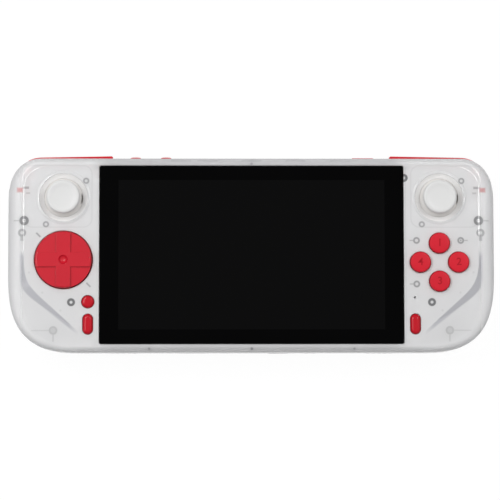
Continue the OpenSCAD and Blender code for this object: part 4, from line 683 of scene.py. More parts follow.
def hidden_marks(tree, flat, fold):
    """One mask of the painted shade of all that stands close under the face, as seen through it."""
    marks = []
    for where, rings, bars in ((fold, RINGS_BOTH, BARS_BOTH), (flat, RINGS_ONE, BARS_ONE)):
        for x, y, r, half, strength in rings:
            off = sums("SUBTRACT", vectors("DISTANCE", where, (x, y, 0.0)), r)
            marks.append(fade(absolute(off), half - SEEN_THROUGH_BLUR, half + SEEN_THROUGH_BLUR, strength))
        for bar in bars:
            marks.append(fade(box_reach(where, *bar[:4]), -SEEN_THROUGH_BLUR, SEEN_THROUGH_BLUR, bar[4]))
    x, y, w, h = PLATE_EDGE
    off = vectors("ABSOLUTE", vectors("SUBTRACT", fold, (x, y, 0.0)))
    off = vectors("SUBTRACT", off, (w - PLATE_ROUND, h - PLATE_ROUND, 0.0))
    off = vectors("LENGTH", vectors("MAXIMUM", off, (0.0, 0.0, 0.0)))
    marks.append(fade(absolute(sums("SUBTRACT", off, PLATE_ROUND)), *PLATE_FADE))
    turned = tree.nodes.new("ShaderNodeVectorRotate")
    turned.rotation_type = "Z_AXIS"
    turned.inputs["Angle"].default_value = math.radians(45)
    tree.links.new(vectors("SUBTRACT", flat, (-WING_X, PAD_Y, 0.0)), turned.inputs["Vector"])
    off = vectors("ABSOLUTE", turned.outputs["Vector"])
    marks.append(fade(box_reach(off, *TICK_MARK), *TICK_FADE))
    return chain("MAXIMUM", marks)


def crescent(fold):
    """Mask of the crescent of painted shade outside the crease."""
    axes = split(vectors("SUBTRACT", fold, (*CREASE_BEND, 0.0)))
    edges = []
    for x, start, end, soft in (CRESCENT_IN, CRESCENT_OUT):
        line = (Vector(end) - Vector(start)).normalized()
        off = vectors("SUBTRACT", fold, (CREASE_BEND[0] + start[0], CREASE_BEND[1] + start[1], 0.0))
        off = split(vectors("MULTIPLY", off, (-line[1], line[0], 0.0)))
        slope = sums("ADD", off["X"], off["Y"])
        edges.append(sums("SMOOTH_MAX", slope, sums("SUBTRACT", axes["X"], x), soft))
    values = (minus(edges[0]), edges[1], axes["Y"], minus(axes["X"]))
    return chain("MULTIPLY", [fade(value, *ends) for value, ends in zip(values, CRESCENT_FADES)])


def grey_rims(tree, fold):
    """Mask of the painted shade on the rims: where the face turns down and beside the glass, but not on stick
    rings.
    """
    level = split(tree.nodes.new("ShaderNodeNewGeometry").outputs["Normal"])["Z"]
    turned = fade(absolute(level), *TURN_FADE)
    axes = split(fold)
    above = fade(minus(axes["Y"]), *LONG_RIM, LONG_RIM_TOP)
    below = fade(axes["Y"], *LONG_RIM, LONG_RIM_LOW)
    beside = sums("MULTIPLY", sums("MAXIMUM", above, below), fade(axes["X"], *LONG_RIM_END))
    away = minus(vectors("DISTANCE", fold, (WING_X, STICK_Y, 0.0)))
    clear = fade(away, -RING_D / 2 - RING_CLEAR, -RING_D / 2)
    return sums("MULTIPLY", sums("MAXIMUM", turned, beside), clear)


def milky_face():
    """The milky plastic of the front, with painted shade of what shows through it, of the crescents and of
    the rims.
    """
    mat = milky("milky_face")
    tree = mat.node_tree
    flat, fold = in_plan(mat)
    tint(mat, hidden_marks(tree, flat, fold), SEEN_THROUGH_SHADE_TONE)
    tint(mat, fade(box_reach(fold, *SPRING_MARK), *SPRING_FADE), SPRING_TONE)
    tint(mat, crescent(fold), CREASE_SHADE_TONE)
    tint(mat, grey_rims(tree, fold), RIM_SHADE_TONE)
    rough = tree.nodes["Principled BSDF"].inputs["Roughness"]
    side = fade(minus(split(fold)["X"]), *SIDE_FADE)
    tree.links.new(sums("ADD", rough.links[0].from_socket, side), rough)
    return mat


# Painted shade on the skirt right of each cap, a thin dark crescent: distance from the stick's middle, half
# width, middle, half length
CAP_SHADE_R, CAP_SHADE_HALF, CAP_SHADE_Y, CAP_SHADE_REACH = 8.5, 0.4, -0.5, 2.8
# Colours of the painted shade and of the painted light on the skirt; then the heights between which that
# painted light fades out upwards
CAP_SHADE_TONE, SKIRT_LIGHT_TONE = (0.06, 0.055, 0.05), (0.72, 0.70, 0.68)
SKIRT_LIGHT_FADE = (28.0 * MM, 28.4 * MM)


def pale_skirt(mat):
    """Painted light makes the domed skirt under the cap a little paler than the cap, and painted shade lies
    as a thin dark crescent on its right.
    """
    tint(mat, fade(split(object_place(mat))["Z"], *SKIRT_LIGHT_FADE), SKIRT_LIGHT_TONE)
    flat = in_plan(mat)[0]
    for s in SIDES:
        off = vectors("SUBTRACT", flat, (s * WING_X, STICK_Y, 0.0))
        axes = split(off)
        across = absolute(sums("SUBTRACT", vectors("LENGTH", off), CAP_SHADE_R))
        length = absolute(sums("SUBTRACT", axes["Y"], CAP_SHADE_Y))
        cap_shade = chain("MULTIPLY", [fade(across, CAP_SHADE_HALF / 2, CAP_SHADE_HALF, 0.9),
                                        fade(length, CAP_SHADE_REACH / 2, CAP_SHADE_REACH),
                                        fade(minus(axes["X"]), -CAP_SHADE_R / 2, 0.0)])
        tint(mat, cap_shade, CAP_SHADE_TONE)


pale_skirt(WHITE)
GLASS, MILKY, MILKY_FACE = black_glass(), milky("milky_plastic"), milky_face()
# Painted light: a lit copy of the milky plastic, less clear and beige, so the shaded bowls of the stick wells
# look lighter
LIT_BOWL_PLASTIC = milky("milky_bowl", (0.92, 0.912, 0.905), 0.12)


def place(made, body, node, material):
    made.data.materials.clear()
    made.data.materials.append(material)
    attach(made, body)
    if node:
        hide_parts(node)
    return made


# Cuts shared by both cases
def rods(places, r, z0, z1):
    return [rod(x, y, r, z0, z1) for x, y in places]


def on_side(places, s):
    return [(s * x, y) for x, y in places]


def bar_notch(s):
    """Room for a shoulder bar."""
    turned = [90 - (BAR_TURN + NOTCH_TURN) * j / NOTCH_STEPS for j in range(NOTCH_STEPS + 1)]
    points = ([(BAR_GAP - BAR_END, HALF_H - NOTCH_IN), (BAR_GAP - BAR_END, HALF_H + NOTCH_OUT)]
              + [corner_point(-1, 1, a, -NOTCH_OUT, -NOTCH_OUT) for a in turned]
              + [corner_point(-1, 1, a, NOTCH_IN, NOTCH_IN) for a in turned][::-1])
    return prism(on_side(points, -s), BAR_LOW - BAR_GAP, BAR_TOP + BAR_GAP)


def port_holes():
    """Charging port, card slot and headphone socket in the bottom edge."""
    outside, inside = -HALF_H - OVER, WALL - HALF_H + OVER
    port = shifted(rounded(PORT_W, PORT_H, PORT_R), PORT_X, PORT_Z)
    return [loft("tool", [[(x, y, z) for x, z in port] for y in (outside, inside)]),
            rect(CARD_X - CARD_HALF, CARD_X + CARD_HALF, outside, CARD_DEEP - HALF_H, CARD_LOW, CARD_HIGH),
            rod_y(JACK_X, JACK_Z, JACK_R, outside, inside)]


# Front case
def lipped(shape, gap, z0, lip=HOLE_LIP):
    """A hole through the front face with a small rounded lip; shape(r) gives its outline grown by r."""
    steps = ((0, z0), (0, Z_FRONT - lip), (0.35 * lip, Z_FRONT - 0.3 * lip), (lip, Z_FRONT + 0.02),
             (lip, Z_FRONT + OVER))
    return loft("tool", [lift(shape(gap + more), z) for more, z in steps])


def rib(x0, x1, y, low, half=RIB_HALF):
    return rect(x0, x1, y - half, y + half, low, Z_FRONT)


def face_place(angle):
    """Middle of the face button at this angle."""
    a = math.radians(angle)
    return WING_X + FACE_SPREAD * math.cos(a), FACE_Y + FACE_SPREAD * math.sin(a)


def stick_rings():
    """The raised rings around the sticks."""
    half = RING_D / 2
    bead = [(half - r, Z_FRONT + z) for r, z in RING_BEAD]
    profile = [(0, Z_FRONT - OVER), (half, Z_FRONT - OVER)] + bead + [(0, bead[-1][1])]
    return [lathe("tool", profile, s * WING_X, STICK_Y, FINE) for s in SIDES]


def front_posts():
    """The window's ledge, posts, pins and ribs under the face."""
    made = [plate(GLASS_W + 2 * LIP_W, GLASS_H + 2 * LIP_W, GLASS_R + LIP_W, POCKET_Z - LEDGE_T, Z_FRONT)]
    (high_x, high_y), (low_x, low_y) = POST_LARGE
    for s in SIDES:
        made.append(rod(s * WING_X, STICK_Y, RING_D / 2 + RING_SPARE, WELL_LOW, Z_FRONT))
        made += rods(on_side(POST_LARGE, s), LARGE_R, Z_SPLIT - POST_PAST, Z_FRONT)
        made += rods(shifted(STICK_SCREWS, s * WING_X, STICK_Y), BOSS_R, PLATE_TOP + SEAT_GAP, Z_FRONT)
        made += rods(on_side([CONTROL_SCREW], s), BOSS_R, CONTROL_TOP + SEAT_GAP, Z_FRONT)
        made += rods(on_side([SIDE_PIN], s), SIDE_PIN_R, Z_SPLIT, Z_FRONT)
        made.append(rib(s * low_x, s * (low_x + RIB_LONG), low_y, RIB_LOW))
        x0, x1 = s * low_x - RIB_HALF, s * low_x + RIB_HALF
        made.append(rect(x0, x1, low_y - RIB_LONG, low_y, RIB_LOW, Z_FRONT))
        made.append(rib(s * high_x, s * (high_x + RIB_SHORT), high_y, RIB_LOW))
    made += rods(POST_SMALL, SMALL_R, Z_SPLIT - POST_PAST, Z_FRONT)
    made.append(rod(-ROCKER_X, HALF_H - KEY_IN, PIVOT_BOSS_R, KEY_HIGH + PIVOT_BOSS_GAP, Z_FRONT, n=32))
    for x, y in shifted(GUIDE_PINS, WING_X, FACE_Y):
        made.append(rod(x, y, GUIDE_R, CONTROL_TOP + SEAT_GAP, Z_FRONT))
        end = x + math.copysign(GUIDE_RIB, x - WING_X)
        made.append(rib(x, end, y, CONTROL_TOP + GUIDE_RIB_UP, GUIDE_RIB_HALF))
    start = -WING_X + PAD_D / 2
    for a in TICK_ANGLES:
        tick = rib(start + TICK_START, start + TICK_END, PAD_Y, CONTROL_TOP + TICK_UP)
        made.append(turn(tick, a, (0, 0, 1), (-WING_X, PAD_Y, 0)))
    return made


def pill_shape(s, r):
    return shifted(pill(2 * r, PILL_L - PILL_W + 2 * r), s * SMALL_X, PILL_Y)


def glass_shape(more):
    return rounded(GLASS_W + GLASS_GAP + 2 * more, GLASS_H + GLASS_GAP + 2 * more, GLASS_R + more)


def front_holes():
    """Window, wells, button holes and screw bores of the front case."""
    made = [lipped(glass_shape, 0, POCKET_Z, GLASS_LIP),
            plate(PANEL_W + PANEL_GAP, PANEL_H + PANEL_GAP, GLASS_R, Z_SPLIT, Z_FRONT + OVER)]
    bowl = [(r, Z_FRONT + z) for r, z in RING_BOWL]
    well = ([(0, Z_SPLIT), (WELL_D / 2, Z_SPLIT), (WELL_D / 2, WELL_LOW)] + bowl
            + [(bowl[-1][0], Z_FRONT + 2 * OVER), (0, Z_FRONT + 2 * OVER)])
    for s in SIDES:
        made.append(lathe("tool", well, s * WING_X, STICK_Y, FINE))
        made.append(lipped(lambda more: pill_shape(s, PILL_W / 2 + more), BUTTON_GAP, Z_SPLIT))
        made += rods(on_side(POST_LARGE, s), LARGE_BORE, Z_SPLIT - OVER, FRONT_IN - LARGE_END)
        made += rods(shifted(STICK_SCREWS, s * WING_X, STICK_Y), INNER_BORE, Z_SPLIT, Z_FRONT - STICK_END)
        made += rods(on_side([CONTROL_SCREW], s), INNER_BORE, Z_SPLIT, FRONT_IN - THREAD_END)
        x, y = FRAME_SCREW
        made += rods([(s * x, -y), (s * x, y)], INNER_BORE, Z_SPLIT, POCKET_Z - THREAD_END)
        made.append(bar_notch(s))
    made.append(lipped(lambda more: circle(-WING_X, PAD_Y, PAD_D / 2 + more, FINE), PAD_GAP, Z_SPLIT,
                       PAD_LIP))
    for a in range(0, 360, 90):
        made.append(lipped(lambda more: circle(*face_place(a), FACE_D / 2 + more, 80), BUTTON_GAP, Z_SPLIT))
    made.append(lipped(lambda more: circle(-SMALL_X, ROUND_Y, ROUND_D / 2 + more), BUTTON_GAP, Z_SPLIT))
    made.append(rod(*SOUND_HOLE, SOUND_HOLE_R, Z_SPLIT, Z_FRONT + OVER, n=32))
    made += rods(POST_SMALL, SMALL_BORE, Z_SPLIT - OVER, POCKET_Z - LEDGE_T + SMALL_END)
    made += rods(shifted(GUIDE_PINS, WING_X, FACE_Y), GUIDE_BORE, Z_SPLIT, FRONT_IN - THREAD_END)
    made.append(rod(-ROCKER_X, HALF_H - KEY_IN, PIVOT_R + RUN_GAP, KEY_Z, KEY_HIGH + PIVOT_BORE, n=32))
    low, high = KEY_LOW - KEY_GAP, KEY_HIGH + KEY_GAP
    for x, length in ((-ROCKER_X, ROCKER_L), (POWER_X, POWER_L)):
        half = length / 2 + KEY_GAP
        made.append(rect(x - half, x + half, HALF_H - NOTCH_IN, HALF_H + OVER, low, high))
    return made + port_holes()


def front_case():
    outer = combine(loft("case_front", front_rings(0, Z_SPLIT)), stick_rings(), "UNION")
    cavity = combine(loft("cavity", front_rings(WALL, Z_SPLIT - OVER)), front_posts(), "DIFFERENCE")
    return combine(outer, [cavity] + front_holes(), "DIFFERENCE")


# Rear case
def rear_posts():
    """Posts, hinge brackets and battery ribs on the rear floor."""
    made = rods(POST_SMALL, SMALL_R, Z_REAR, Z_SPLIT + POST_PAST)
    y0, y1, high = HINGE_Y - EAR_R, HINGE_Y + EAR_R, HINGE_Z + EAR_R
    for s in SIDES:
        made += rods(on_side(POST_LARGE, s), LARGE_R, -OVER, Z_SPLIT + POST_PAST)
        for x in (EAR_OUTER + EAR_T + EAR_GAP, EAR_INNER - EAR_GAP - POST_T, EAR_INNER + EAR_T + EAR_GAP):
            made.append(rect(s * x, s * (x + POST_T), y0, y1, Z_REAR, high))
        made.append(rod(s * BAR_PIN_X, BAR_PIN_Y, BOSS_R, Z_REAR, BAR_LOW - BAR_GAP))
    x0, x1, high = CELL_X - CELL_LONG, CELL_X + CELL_LONG, REAR_IN + CELL_RIB_H
    made += [rect(x0, x1, y, y + CELL_RIB_T, Z_REAR, high) for y in CELL_RIB_Y]
    made += [rect(x, x + CELL_RIB_T, -CELL_SHORT, CELL_SHORT, Z_REAR, high) for x in CELL_RIB_X]
    return made


def rear_holes():
    """Screw holes, notches, pin bores, sound slots, vents and ports of the rear case."""
    made = []
    bar_room, trigger_x = BAR_LOW - BAR_GAP, TRIGGER_END - TRIGGER_GAP
    for s in SIDES:
        made += rods(on_side(POST_LARGE, s), LARGE_HEAD, -OVER, REAR_IN + OVER)
        made += rods(on_side(POST_LARGE, s), LARGE_SHAFT, -OVER, Z_SPLIT + OVER)
        made.append(bar_notch(s))
        made.append(rect(s * 2 * HALF_W, s * trigger_x, NOTCH_Y, 2 * HALF_H, -OVER, bar_room))
        for start, ear in ((PIN_START, EAR_OUTER), (EAR_INNER - POST_T - OVER, EAR_INNER)):
            end = ear + EAR_T + POST_T + OVER
            made.append(rod_x(HINGE_Y, HINGE_Z, PIN_R + RUN_GAP, s * start, s * end))
        made.append(rod(s * BAR_PIN_X, BAR_PIN_Y, INNER_BORE, REAR_IN + OVER, Z_SPLIT))
        y0, y1 = -HALF_H - OVER, 2 * WALL - HALF_H
        for j in range(SPEAKER_SLOTS):
            x = SPEAKER_X + SPEAKER_PITCH * j
            made.append(rect(s * x, s * (x + SPEAKER_W), y0, y1, SPEAKER_LOW, SPEAKER_HIGH))
    made += rods(POST_SMALL, SMALL_HEAD, -OVER, REAR_IN + OVER)
    made += rods(POST_SMALL, SMALL_SHAFT, -OVER, Z_SPLIT + OVER)
    for j in range(FAN_SLOTS):
        k = j - (FAN_SLOTS - 1) / 2
        slot = rounded(FAN_SLOT_W, FAN_SLOT_L - FAN_LESS * abs(k), FAN_SLOT_R)
        made.append(prism(shifted(slot, FAN_X + FAN_PITCH * k, FAN_Y), Z_REAR - OVER, REAR_IN + OVER))
    for x in VENT_X:
        for j in range(VENT_SLOTS):
            start = x + VENT_PITCH * (j - VENT_SLOTS / 2)
            made.append(rect(start, start + VENT_W, HALF_H - VENT_DEEP, HALF_H + OVER, VENT_LOW, VENT_HIGH))
    return made + port_holes()


def rear_case():
    outer = loft("case_rear", rear_rings(0, Z_RIM), tip=(0, 0, Z_REAR))
    cavity = loft("cavity", rear_rings(WALL, Z_RIM + OVER), tip=(0, 0, REAR_IN))
    combine(cavity, rear_posts(), "DIFFERENCE")
    return combine(outer, [cavity] + rear_holes(), "DIFFERENCE")


face = place(finish_mesh(front_case(), sharp=11), "console", "front_shell", MILKY_FACE)
# The bowls of the stick wells take the lit copy of the milky plastic, as painted light
face.data.materials.append(LIT_BOWL_PLASTIC)
for p in face.data.polygons:
    off = Vector((abs(p.center[0]) / MM - WING_X, p.center[1] / MM - MID_Y - STICK_Y))
    if off.length < BOWL_R and p.center[2] / MM > Z_FRONT - BOWL_DEEP:
        p.material_index = 1
place(finish_mesh(rear_case(), sharp=20), "console", "rear_shell", MILKY)

# Screen
glass_z = POCKET_Z + TAPE_T
glass = prism(rounded(GLASS_W, GLASS_H, GLASS_R), glass_z, glass_z + GLASS_T, "screen_glass")
place(finish_mesh(glass, bevel=0.2, segments=3), "console", "cover_glass", GLASS)


# Sticks
# Profile of the cap by distance from its side and its top: its neck, and the shallow dish within its edge
CAP_NECK = [(-1.6, -3.4), (-0.95, -3.0), (-0.42, -2.3)]
CAP_DISH = [(-1.6, -0.03), (-2.1, -0.12), (-2.6, -0.25), (-3.4, -0.36), (-5.0, -0.44)]
# Top of the dome, where the neck starts: share of the cap's radius and depth; angles at which the dome ends
NECK_SHARE, NECK_DEEP, DOME_END, DOME_UNDER = 0.66, 0.25, 64.5, 73.0
DISH_DEEP, CAP_ROOM = 0.46, 0.1


def stick_cap(side, s):
    r, top, low, inner = CAP_D / 2, PIVOT_Z + CAP_TOP, PIVOT_Z + SKIRT_LOW, SKIRT_R - SKIRT_T
    profile = arc(0, PIVOT_Z, SKIRT_R, math.degrees(math.asin(SKIRT_LOW / SKIRT_R)), DOME_END, 12)
    profile.append((NECK_SHARE * r, PIVOT_Z + SKIRT_R - NECK_DEEP))
    profile += shifted(CAP_NECK, r, top) + arc(r - CAP_EDGE, top - CAP_EDGE, CAP_EDGE, -30, 84, 10)
    profile += shifted(CAP_DISH, r, top) + [(0, top - DISH_DEEP)]
    bore, hole, sleeve = PIVOT_Z + SHAFT_TOP + CLICK + CAP_ROOM, SHAFT_R + RUN_GAP, SHAFT_R + SLEEVE_T
    under = arc(0, PIVOT_Z, inner, DOME_UNDER, math.degrees(math.asin(SKIRT_LOW / inner)), 12)
    profile += [(0, bore), (hole, bore), (hole, low), (sleeve, low), (sleeve, under[0][1])] + under
    cap = lathe(f"stick_cap_{side}", profile, s * WING_X, STICK_Y)
    place(finish_mesh(cap, sharp=40), f"{side}_stick_cap", f"{side}_stick_cap", WHITE)


for side, s in (("left", -1), ("right", 1)):
    stick_cap(side, s)


# Cross pad
def cross_pad():
    r, top, low = PAD_D / 2, Z_FRONT + PAD_RISE, BALL_Z - PAD_UNDER
    rim, rim_top = r + PAD_FLANGE, low + PAD_FLANGE_T
    profile = [(0, low), (rim, low), (rim, rim_top), (r, rim_top)]
    profile += arc(r - PAD_EDGE, top - PAD_EDGE, PAD_EDGE, 0, 90, 8) + [(0, top)]
    pad = lathe("pad_cross", profile, -WING_X, PAD_Y, FINE)
    x, y, z = -WING_X + CROSS_W / 2, PAD_Y + CROSS_W / 2, top - CROSS_STEP
    cuts = []
    for a in range(0, 360, 90):
        quarter = turn(rect(x, x + r, y, y + r, z, top + 1.5 * OVER), CROSS_TILT, (-1, 1, 0), (x, y, z))
        cuts.append(turn(quarter, a, (0, 0, 1), (-WING_X, PAD_Y, 0)))
    combine(pad, cuts, "DIFFERENCE")
    finish_mesh(pad, bevel=0.16, segments=3, limit=25)
    dimple = lathe("tool", arc(0, top + DIMPLE_R - DIMPLE_DEEP, DIMPLE_R, -90, 90, 48), -WING_X, PAD_Y)
    cup = lathe("tool", arc(0, BALL_Z, BALL_R + BALL_GAP, -90, 90, 24), -WING_X, PAD_Y)
    combine(pad, [dimple, cup], "DIFFERENCE")
    place(finish_mesh(pad, sharp=20), "cross_pad", "cross_pad", RED_PAD)


cross_pad()


# Buttons
# Points of the crown: share of the radius, share of its height
CROWN = ((0.6, 0.6), (0.3, 0.9), (0, 1))
STEM_SHARE = 0.7
NUMERAL_SIZE, NUMERAL_T, NUMERAL_BOLD, NUMERAL_RISE = 4.8, 0.05, 0.07, 0.1


def button_profile(r, rise, low, crown, edge):
    top, under = Z_FRONT + rise, FRONT_IN - FLANGE_GAP
    stem, rim, rim_low = STEM_SHARE * r, r + FLANGE_W, under - FLANGE_T
    return ([(0, low), (stem, low), (stem, rim_low), (rim, rim_low), (rim, under), (r, under)]
            + arc(r - edge, top - edge, edge, 0, 78, 12)
            + [(a * r, top + b * crown) for a, b in CROWN if a * r < r - edge])


def numeral(text, x, y, body):
    """A plain number inlaid in a button's crown."""
    curve = bpy.data.curves.new("numeral_" + text, "FONT")
    curve.body, curve.align_x, curve.align_y = text, "CENTER", "CENTER"
    curve.size, curve.extrude, curve.offset = NUMERAL_SIZE * MM, NUMERAL_T * MM, NUMERAL_BOLD * MM
    curve.resolution_u = 4
    text_object = add("numeral_" + text, curve)
    text_object.location = (x * MM, (y + MID_Y) * MM, (Z_FRONT + FACE_RISE + NUMERAL_RISE) * MM)
    bpy.context.view_layer.update()
    mesh = shown_mesh(text_object)
    mesh.transform(text_object.matrix_world)
    bpy.data.objects.remove(text_object)
    place(add("button_numeral_" + text, mesh), body, None, RED_INK)


for number, (which, a) in enumerate((("top", 90), ("right", 0), ("bottom", 270), ("left", 180)), 1):
    x, y = face_place(a)
    profile = button_profile(FACE_D / 2, FACE_RISE, FACE_LOW, FACE_CROWN, FACE_EDGE)
    button = lathe("button_" + which, profile, x, y)
    place(finish_mesh(button), "face_button_" + which, "face_button_" + which, RED)
    numeral(str(number), x, y, "face_button_" + which)

profile = button_profile(ROUND_D / 2, SMALL_RISE, SMALL_LOW, ROUND_CROWN, ROUND_EDGE)
button = lathe("button_round", profile, -SMALL_X, ROUND_Y)
place(finish_mesh(button), "round_button", "round_button", RED_GLOSS)

profile = button_profile(PILL_W / 2, SMALL_RISE, SMALL_LOW, PILL_CROWN, PILL_EDGE)
for side, s in (("left", -1), ("right", 1)):
    button = loft(f"button_pill_{side}", [lift(pill_shape(s, r), z) for r, z in profile[1:-1]])
    place(finish_mesh(button), f"{side}_pill_button", f"{side}_pill_button", RED_GLOSS)


# Shoulder bars and triggers
def bar_section(base, reach, proud):
    flat = ([(-BAR_IN, BAR_LOW)] + arc(proud - BAR_EDGE, BAR_LOW + BAR_EDGE, BAR_EDGE, -90, 0, 8)
            + arc(proud - BAR_EDGE, BAR_TOP - BAR_EDGE, BAR_EDGE, 0, 90, 8) + [(-BAR_IN, BAR_TOP)])
    return [(base[0] + p * reach[0], base[1] + p * reach[1], z) for p, z in flat]


def shoulder_bar():
    sections = []
    for j in range(9):
        a = math.radians(90 * j / 8)
        x, proud = BAR_SOFT * (1 - math.cos(a)), BAR_PROUD - BAR_SOFT * (1 - math.sin(a))
        sections.append(bar_section((-BAR_END - x, HALF_H), (0, 1), proud))
    sections += [bar_section((-BAR_END - x, HALF_H), (0, 1), BAR_PROUD - BAR_SLANT * x) for x in (8, 16, 24)]
    for j in range(BAR_STEPS + 1):
        a = 90 - BAR_TURN * j / BAR_STEPS
        p, q = corner_point(-1, 1, a, 0, 0), corner_point(-1, 1, a, -1, -1)
        proud = BAR_PROUD - BAR_SLANT * (-p[0] - BAR_END)
        sections.append(bar_section(p, (q[0] - p[0], q[1] - p[1]), proud * (1 - (j / BAR_STEPS) ** 3)))
    bar = loft("shoulder_bar_left", sections)
    low, high, y = BAR_LOW + EYE_LESS, BAR_TOP - EYE_LESS, HALF_H - BAR_IN
    arm = rect(-BAR_END - ARM_IN, -BAR_PIN_X + ARM_PAST, y, y + ARM_W, low, high)
    combine(bar, [arm, rod(-BAR_PIN_X, BAR_PIN_Y, BAR_EYE_R, low, high)], "UNION")
    combine(bar, [rod(-BAR_PIN_X, BAR_PIN_Y, INNER_BORE, BAR_LOW - OVER, BAR_TOP + OVER)], "DIFFERENCE")
    return finish_mesh(bar, bevel=0.25, segments=3, limit=50)


# Section of the trigger's paddle by distance from its front and its top, and of its root
PADDLE = [(-1, -4), (-0.3, -4.4), (0, -5), (-0.3, -7), (-1.1, -9.5), (-1.5, -11.5), (-1.2, -12.8),
          (-1.8, -13.6), (-2.8, -13.4), (-4.2, -11.8), (-5.6, -9), (-8, -6.4)]
ROOT_Y, ROOT_HIGH, ROOT_LOW = NOTCH_Y + 1, -1.9, -5.8


def trigger():
    front, top = HALF_H + TRIGGER_PROUD, BAR_LOW - BAR_GAP
    profile = [(ROOT_Y, top + ROOT_HIGH)] + shifted(PADDLE, front, top) + [(ROOT_Y, top + ROOT_LOW)]
    paddle = loft("trigger_left", [[(x, y, z) for y, z in profile] for x in (-TRIGGER_END, -HALF_W)])
    edge = [corner_point(-1, 1, 90 - 90 * j / TRIGGER_STEPS, -TRIGGER_OUT, -TRIGGER_PROUD)
            for j in range(TRIGGER_STEPS + 1)]
    edge = [p for p in edge if p[1] > NOTCH_Y]
    plan = ([(-TRIGGER_END, 0), (-TRIGGER_END, front)] + edge
            + [(edge[-1][0], NOTCH_Y), (-EAR_OUTER, NOTCH_Y), (-EAR_OUTER, 0)])
    combine(paddle, [prism(plan, -OVER, Z_SPLIT)], "INTERSECT")
    finish_mesh(paddle, bevel=0.35, segments=3, limit=40)
    ears, bores = [], []
    for x in (EAR_OUTER, EAR_INNER):
        ears.append(rod_x(HINGE_Y, HINGE_Z, EAR_R, -x - EAR_T, -x, 48))
        ears.append(rect(-x - EAR_T, -x, HINGE_Y, NOTCH_Y + EAR_REACH, HINGE_Z - EAR_DOWN, HINGE_Z + EAR_UP))
        bores.append(rod_x(HINGE_Y, HINGE_Z, PIN_R + RUN_GAP, -x - EAR_T - OVER, -x + OVER))
    combine(paddle, ears, "UNION")
    combine(paddle, bores, "DIFFERENCE")
    return finish_mesh(paddle)


for shape, word in ((shoulder_bar, "shoulder_bar"), (trigger, "trigger")):
    left = shape()
    right = mirrored(left, word + "_right")
    finish_mesh(right)
    place(left, "left_" + word, "left_" + word, RED)
    place(right, "right_" + word, "right_" + word, RED)


# Keys in the top edge
def key(name, x, length, proud, bumps):
    half, inner = length / 2, HALF_H - KEY_IN
    made = rect(x - half, x + half, inner, HALF_H + proud, KEY_LOW, KEY_HIGH)
    made.name = name
    rim = half + KEY_RIM
    more = [rect(x - rim, x + rim, inner - KEY_RIM_IN, inner + KEY_RIM_OUT, KEY_LOW - KEY_RIM_LOW,
                 KEY_HIGH + KEY_RIM_HIGH)]
    if bumps:
        more.append(rod(x, inner, PIVOT_R, KEY_LOW, KEY_HIGH + PIVOT_L, n=32))
    for s in SIDES if bumps else ():
        c, h, foot = x + s * (length - BUMP_L) / 2, BUMP_L / 2, HALF_H - BUMP_FOOT
        round_top = [(c + h * a, HALF_H + BUMP_PROUD * b ** 0.6) for a, b in arc(0, 0, 1, 4, 176, 20)]
        more.append(prism([(c + h, foot)] + round_top + [(c - h, foot)], KEY_LOW, KEY_HIGH))
    combine(made, more, "UNION")
    return finish_mesh(made, bevel=0.18, segments=2, limit=40)


rocker = key("rocker_volume", -ROCKER_X, ROCKER_L, -ROCKER_SUNK, True)
place(rocker, "volume_rocker", "volume_rocker", RED)
power = key("button_power", POWER_X, POWER_L, POWER_PROUD, False)
place(power, "power_button", "power_button", RED)

# The pieces that keep their solids
LOOKS = {"clear_plastic": MILKY, "red_plastic": RED, "white_plastic": WHITE, "black_glass": GLASS,
         "dark_panel": PANEL, "steel": STEEL, "circuit_board": MASK, "dark_plastic": DARK,
         "membrane_rubber": RUBBER, "copper": COPPER, "ribbon": RIBBON, "battery_pouch": POUCH}
for sub in frame["record"]["subparts"]:
    node = frame["nodes"][sub["node"]]
    node.data.materials.clear()
    look = PLATE if sub["node"].endswith("stick_housing") else LOOKS[sub["material_slot"]]
    node.data.materials.append(look)

# Floor, light and camera, in metres
FLOOR_HALF, FLOOR_Z, FLOOR_TONE, FLOOR_GLOW, GLOW_SHARE = 6.0, -0.0002, 0.86, 1.02, 0.94
LAMP_AIM = Vector((0, 0, 0.02))
# Name, place, size and power of each lamp
LAMPS = [("key_left", (-0.56, 0.15, 0.75), (0.9, 0.45), 3.15),
         ("fill_right", (0.6, 0.05, 0.75), (1.0, 0.6), 0.45),
         ("strip_left", (-0.50, 0.18, 0.8), (0.3, 0.06), 0.6),
         ("strip_right", (0.54, 0.18, 0.8), (0.3, 0.06), 0.95),
         ("corner_left", (-0.37, 0.395, 0.8), (0.25, 0.06), 0.9),
         ("corner_right", (0.41, 0.395, 0.8), (0.30, 0.09), 1.4)]
SKY_LOW, SKY_HIGH = (0.12, 0.12, 0.13, 1), (0.62, 0.62, 0.62, 1)
# Angle of the view above level, its swing to the left, distance, width of the picture at the aim
ELEVATION, SWING, DISTANCE, SEEN_W = math.radians(85), math.radians(1.2), 1.17, 0.2293
AIM, SENSOR = Vector((-0.00070, 0.0018, 0.022)), 36.0


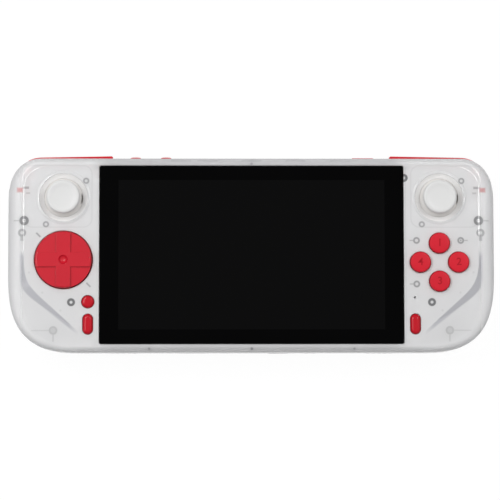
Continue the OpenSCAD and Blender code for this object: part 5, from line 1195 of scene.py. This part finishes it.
def pale_floor():
    """Pale floor that camera, reflections and clear plastic see as almost white, with a faint shadow."""
    mat = bpy.data.materials.new("pale_floor")
    mat.use_nodes = True
    tree = mat.node_tree
    bsdf = tree.nodes["Principled BSDF"]
    bsdf.inputs["Base Color"].default_value = (FLOOR_TONE, FLOOR_TONE, FLOOR_TONE, 1)
    bsdf.inputs["Roughness"].default_value = 0.9
    glow = tree.nodes.new("ShaderNodeEmission")
    glow.inputs["Strength"].default_value = FLOOR_GLOW
    rays = tree.nodes.new("ShaderNodeLightPath").outputs
    seen = chain("MAXIMUM", [rays[f"Is {word} Ray"] for word in ("Camera", "Glossy", "Transmission")])
    both = tree.nodes.new("ShaderNodeMixShader")
    tree.links.new(sums("MULTIPLY", seen, GLOW_SHARE), both.inputs["Fac"])
    tree.links.new(bsdf.outputs["BSDF"], both.inputs[1])
    tree.links.new(glow.outputs["Emission"], both.inputs[2])
    tree.links.new(both.outputs["Shader"], tree.nodes["Material Output"].inputs["Surface"])
    return mat


floor_mesh = bpy.data.meshes.new("floor")
corners = [(a * FLOOR_HALF, b * FLOOR_HALF, FLOOR_Z) for a, b in ((-1, -1), (1, -1), (1, 1), (-1, 1))]
floor_mesh.from_pydata(corners, [], [(0, 1, 2, 3)])
floor = add("floor", floor_mesh)
floor_mesh.materials.append(pale_floor())

for name, where, sides, power in LAMPS:
    light = bpy.data.lights.new(name, "AREA")
    light.shape, light.energy = "RECTANGLE", power
    light.size, light.size_y = sides
    lamp = add(name, light)
    lamp.location = where
    lamp.rotation_euler = (LAMP_AIM - Vector(where)).to_track_quat("-Z", "Y").to_euler()

scene.world = bpy.data.worlds.new("studio")
scene.world.use_nodes = True
sky = scene.world.node_tree
walls = sky.nodes.new("ShaderNodeValToRGB")
walls.color_ramp.elements[0].color, walls.color_ramp.elements[0].position = SKY_LOW, 0.1
walls.color_ramp.elements[1].color, walls.color_ramp.elements[1].position = SKY_HIGH, 0.95
sky.links.new(split(sky.nodes.new("ShaderNodeTexCoord").outputs["Generated"])["Z"], walls.inputs["Fac"])
sky.links.new(walls.outputs["Color"], sky.nodes["Background"].inputs["Color"])
sky.nodes["Background"].inputs["Strength"].default_value = 1.0

camera_data = bpy.data.cameras.new("camera")
camera_data.sensor_width, camera_data.lens = SENSOR, SENSOR * DISTANCE / SEEN_W
camera = add("camera", camera_data)
scene.camera = camera
back = Vector((-math.sin(SWING), -math.cos(ELEVATION), math.sin(ELEVATION))).normalized()
up = back.cross(Vector((1, 0, 0))).normalized()
camera.location = AIM + DISTANCE * back
camera.rotation_euler = Matrix((up.cross(back), up, back)).transposed().to_euler()
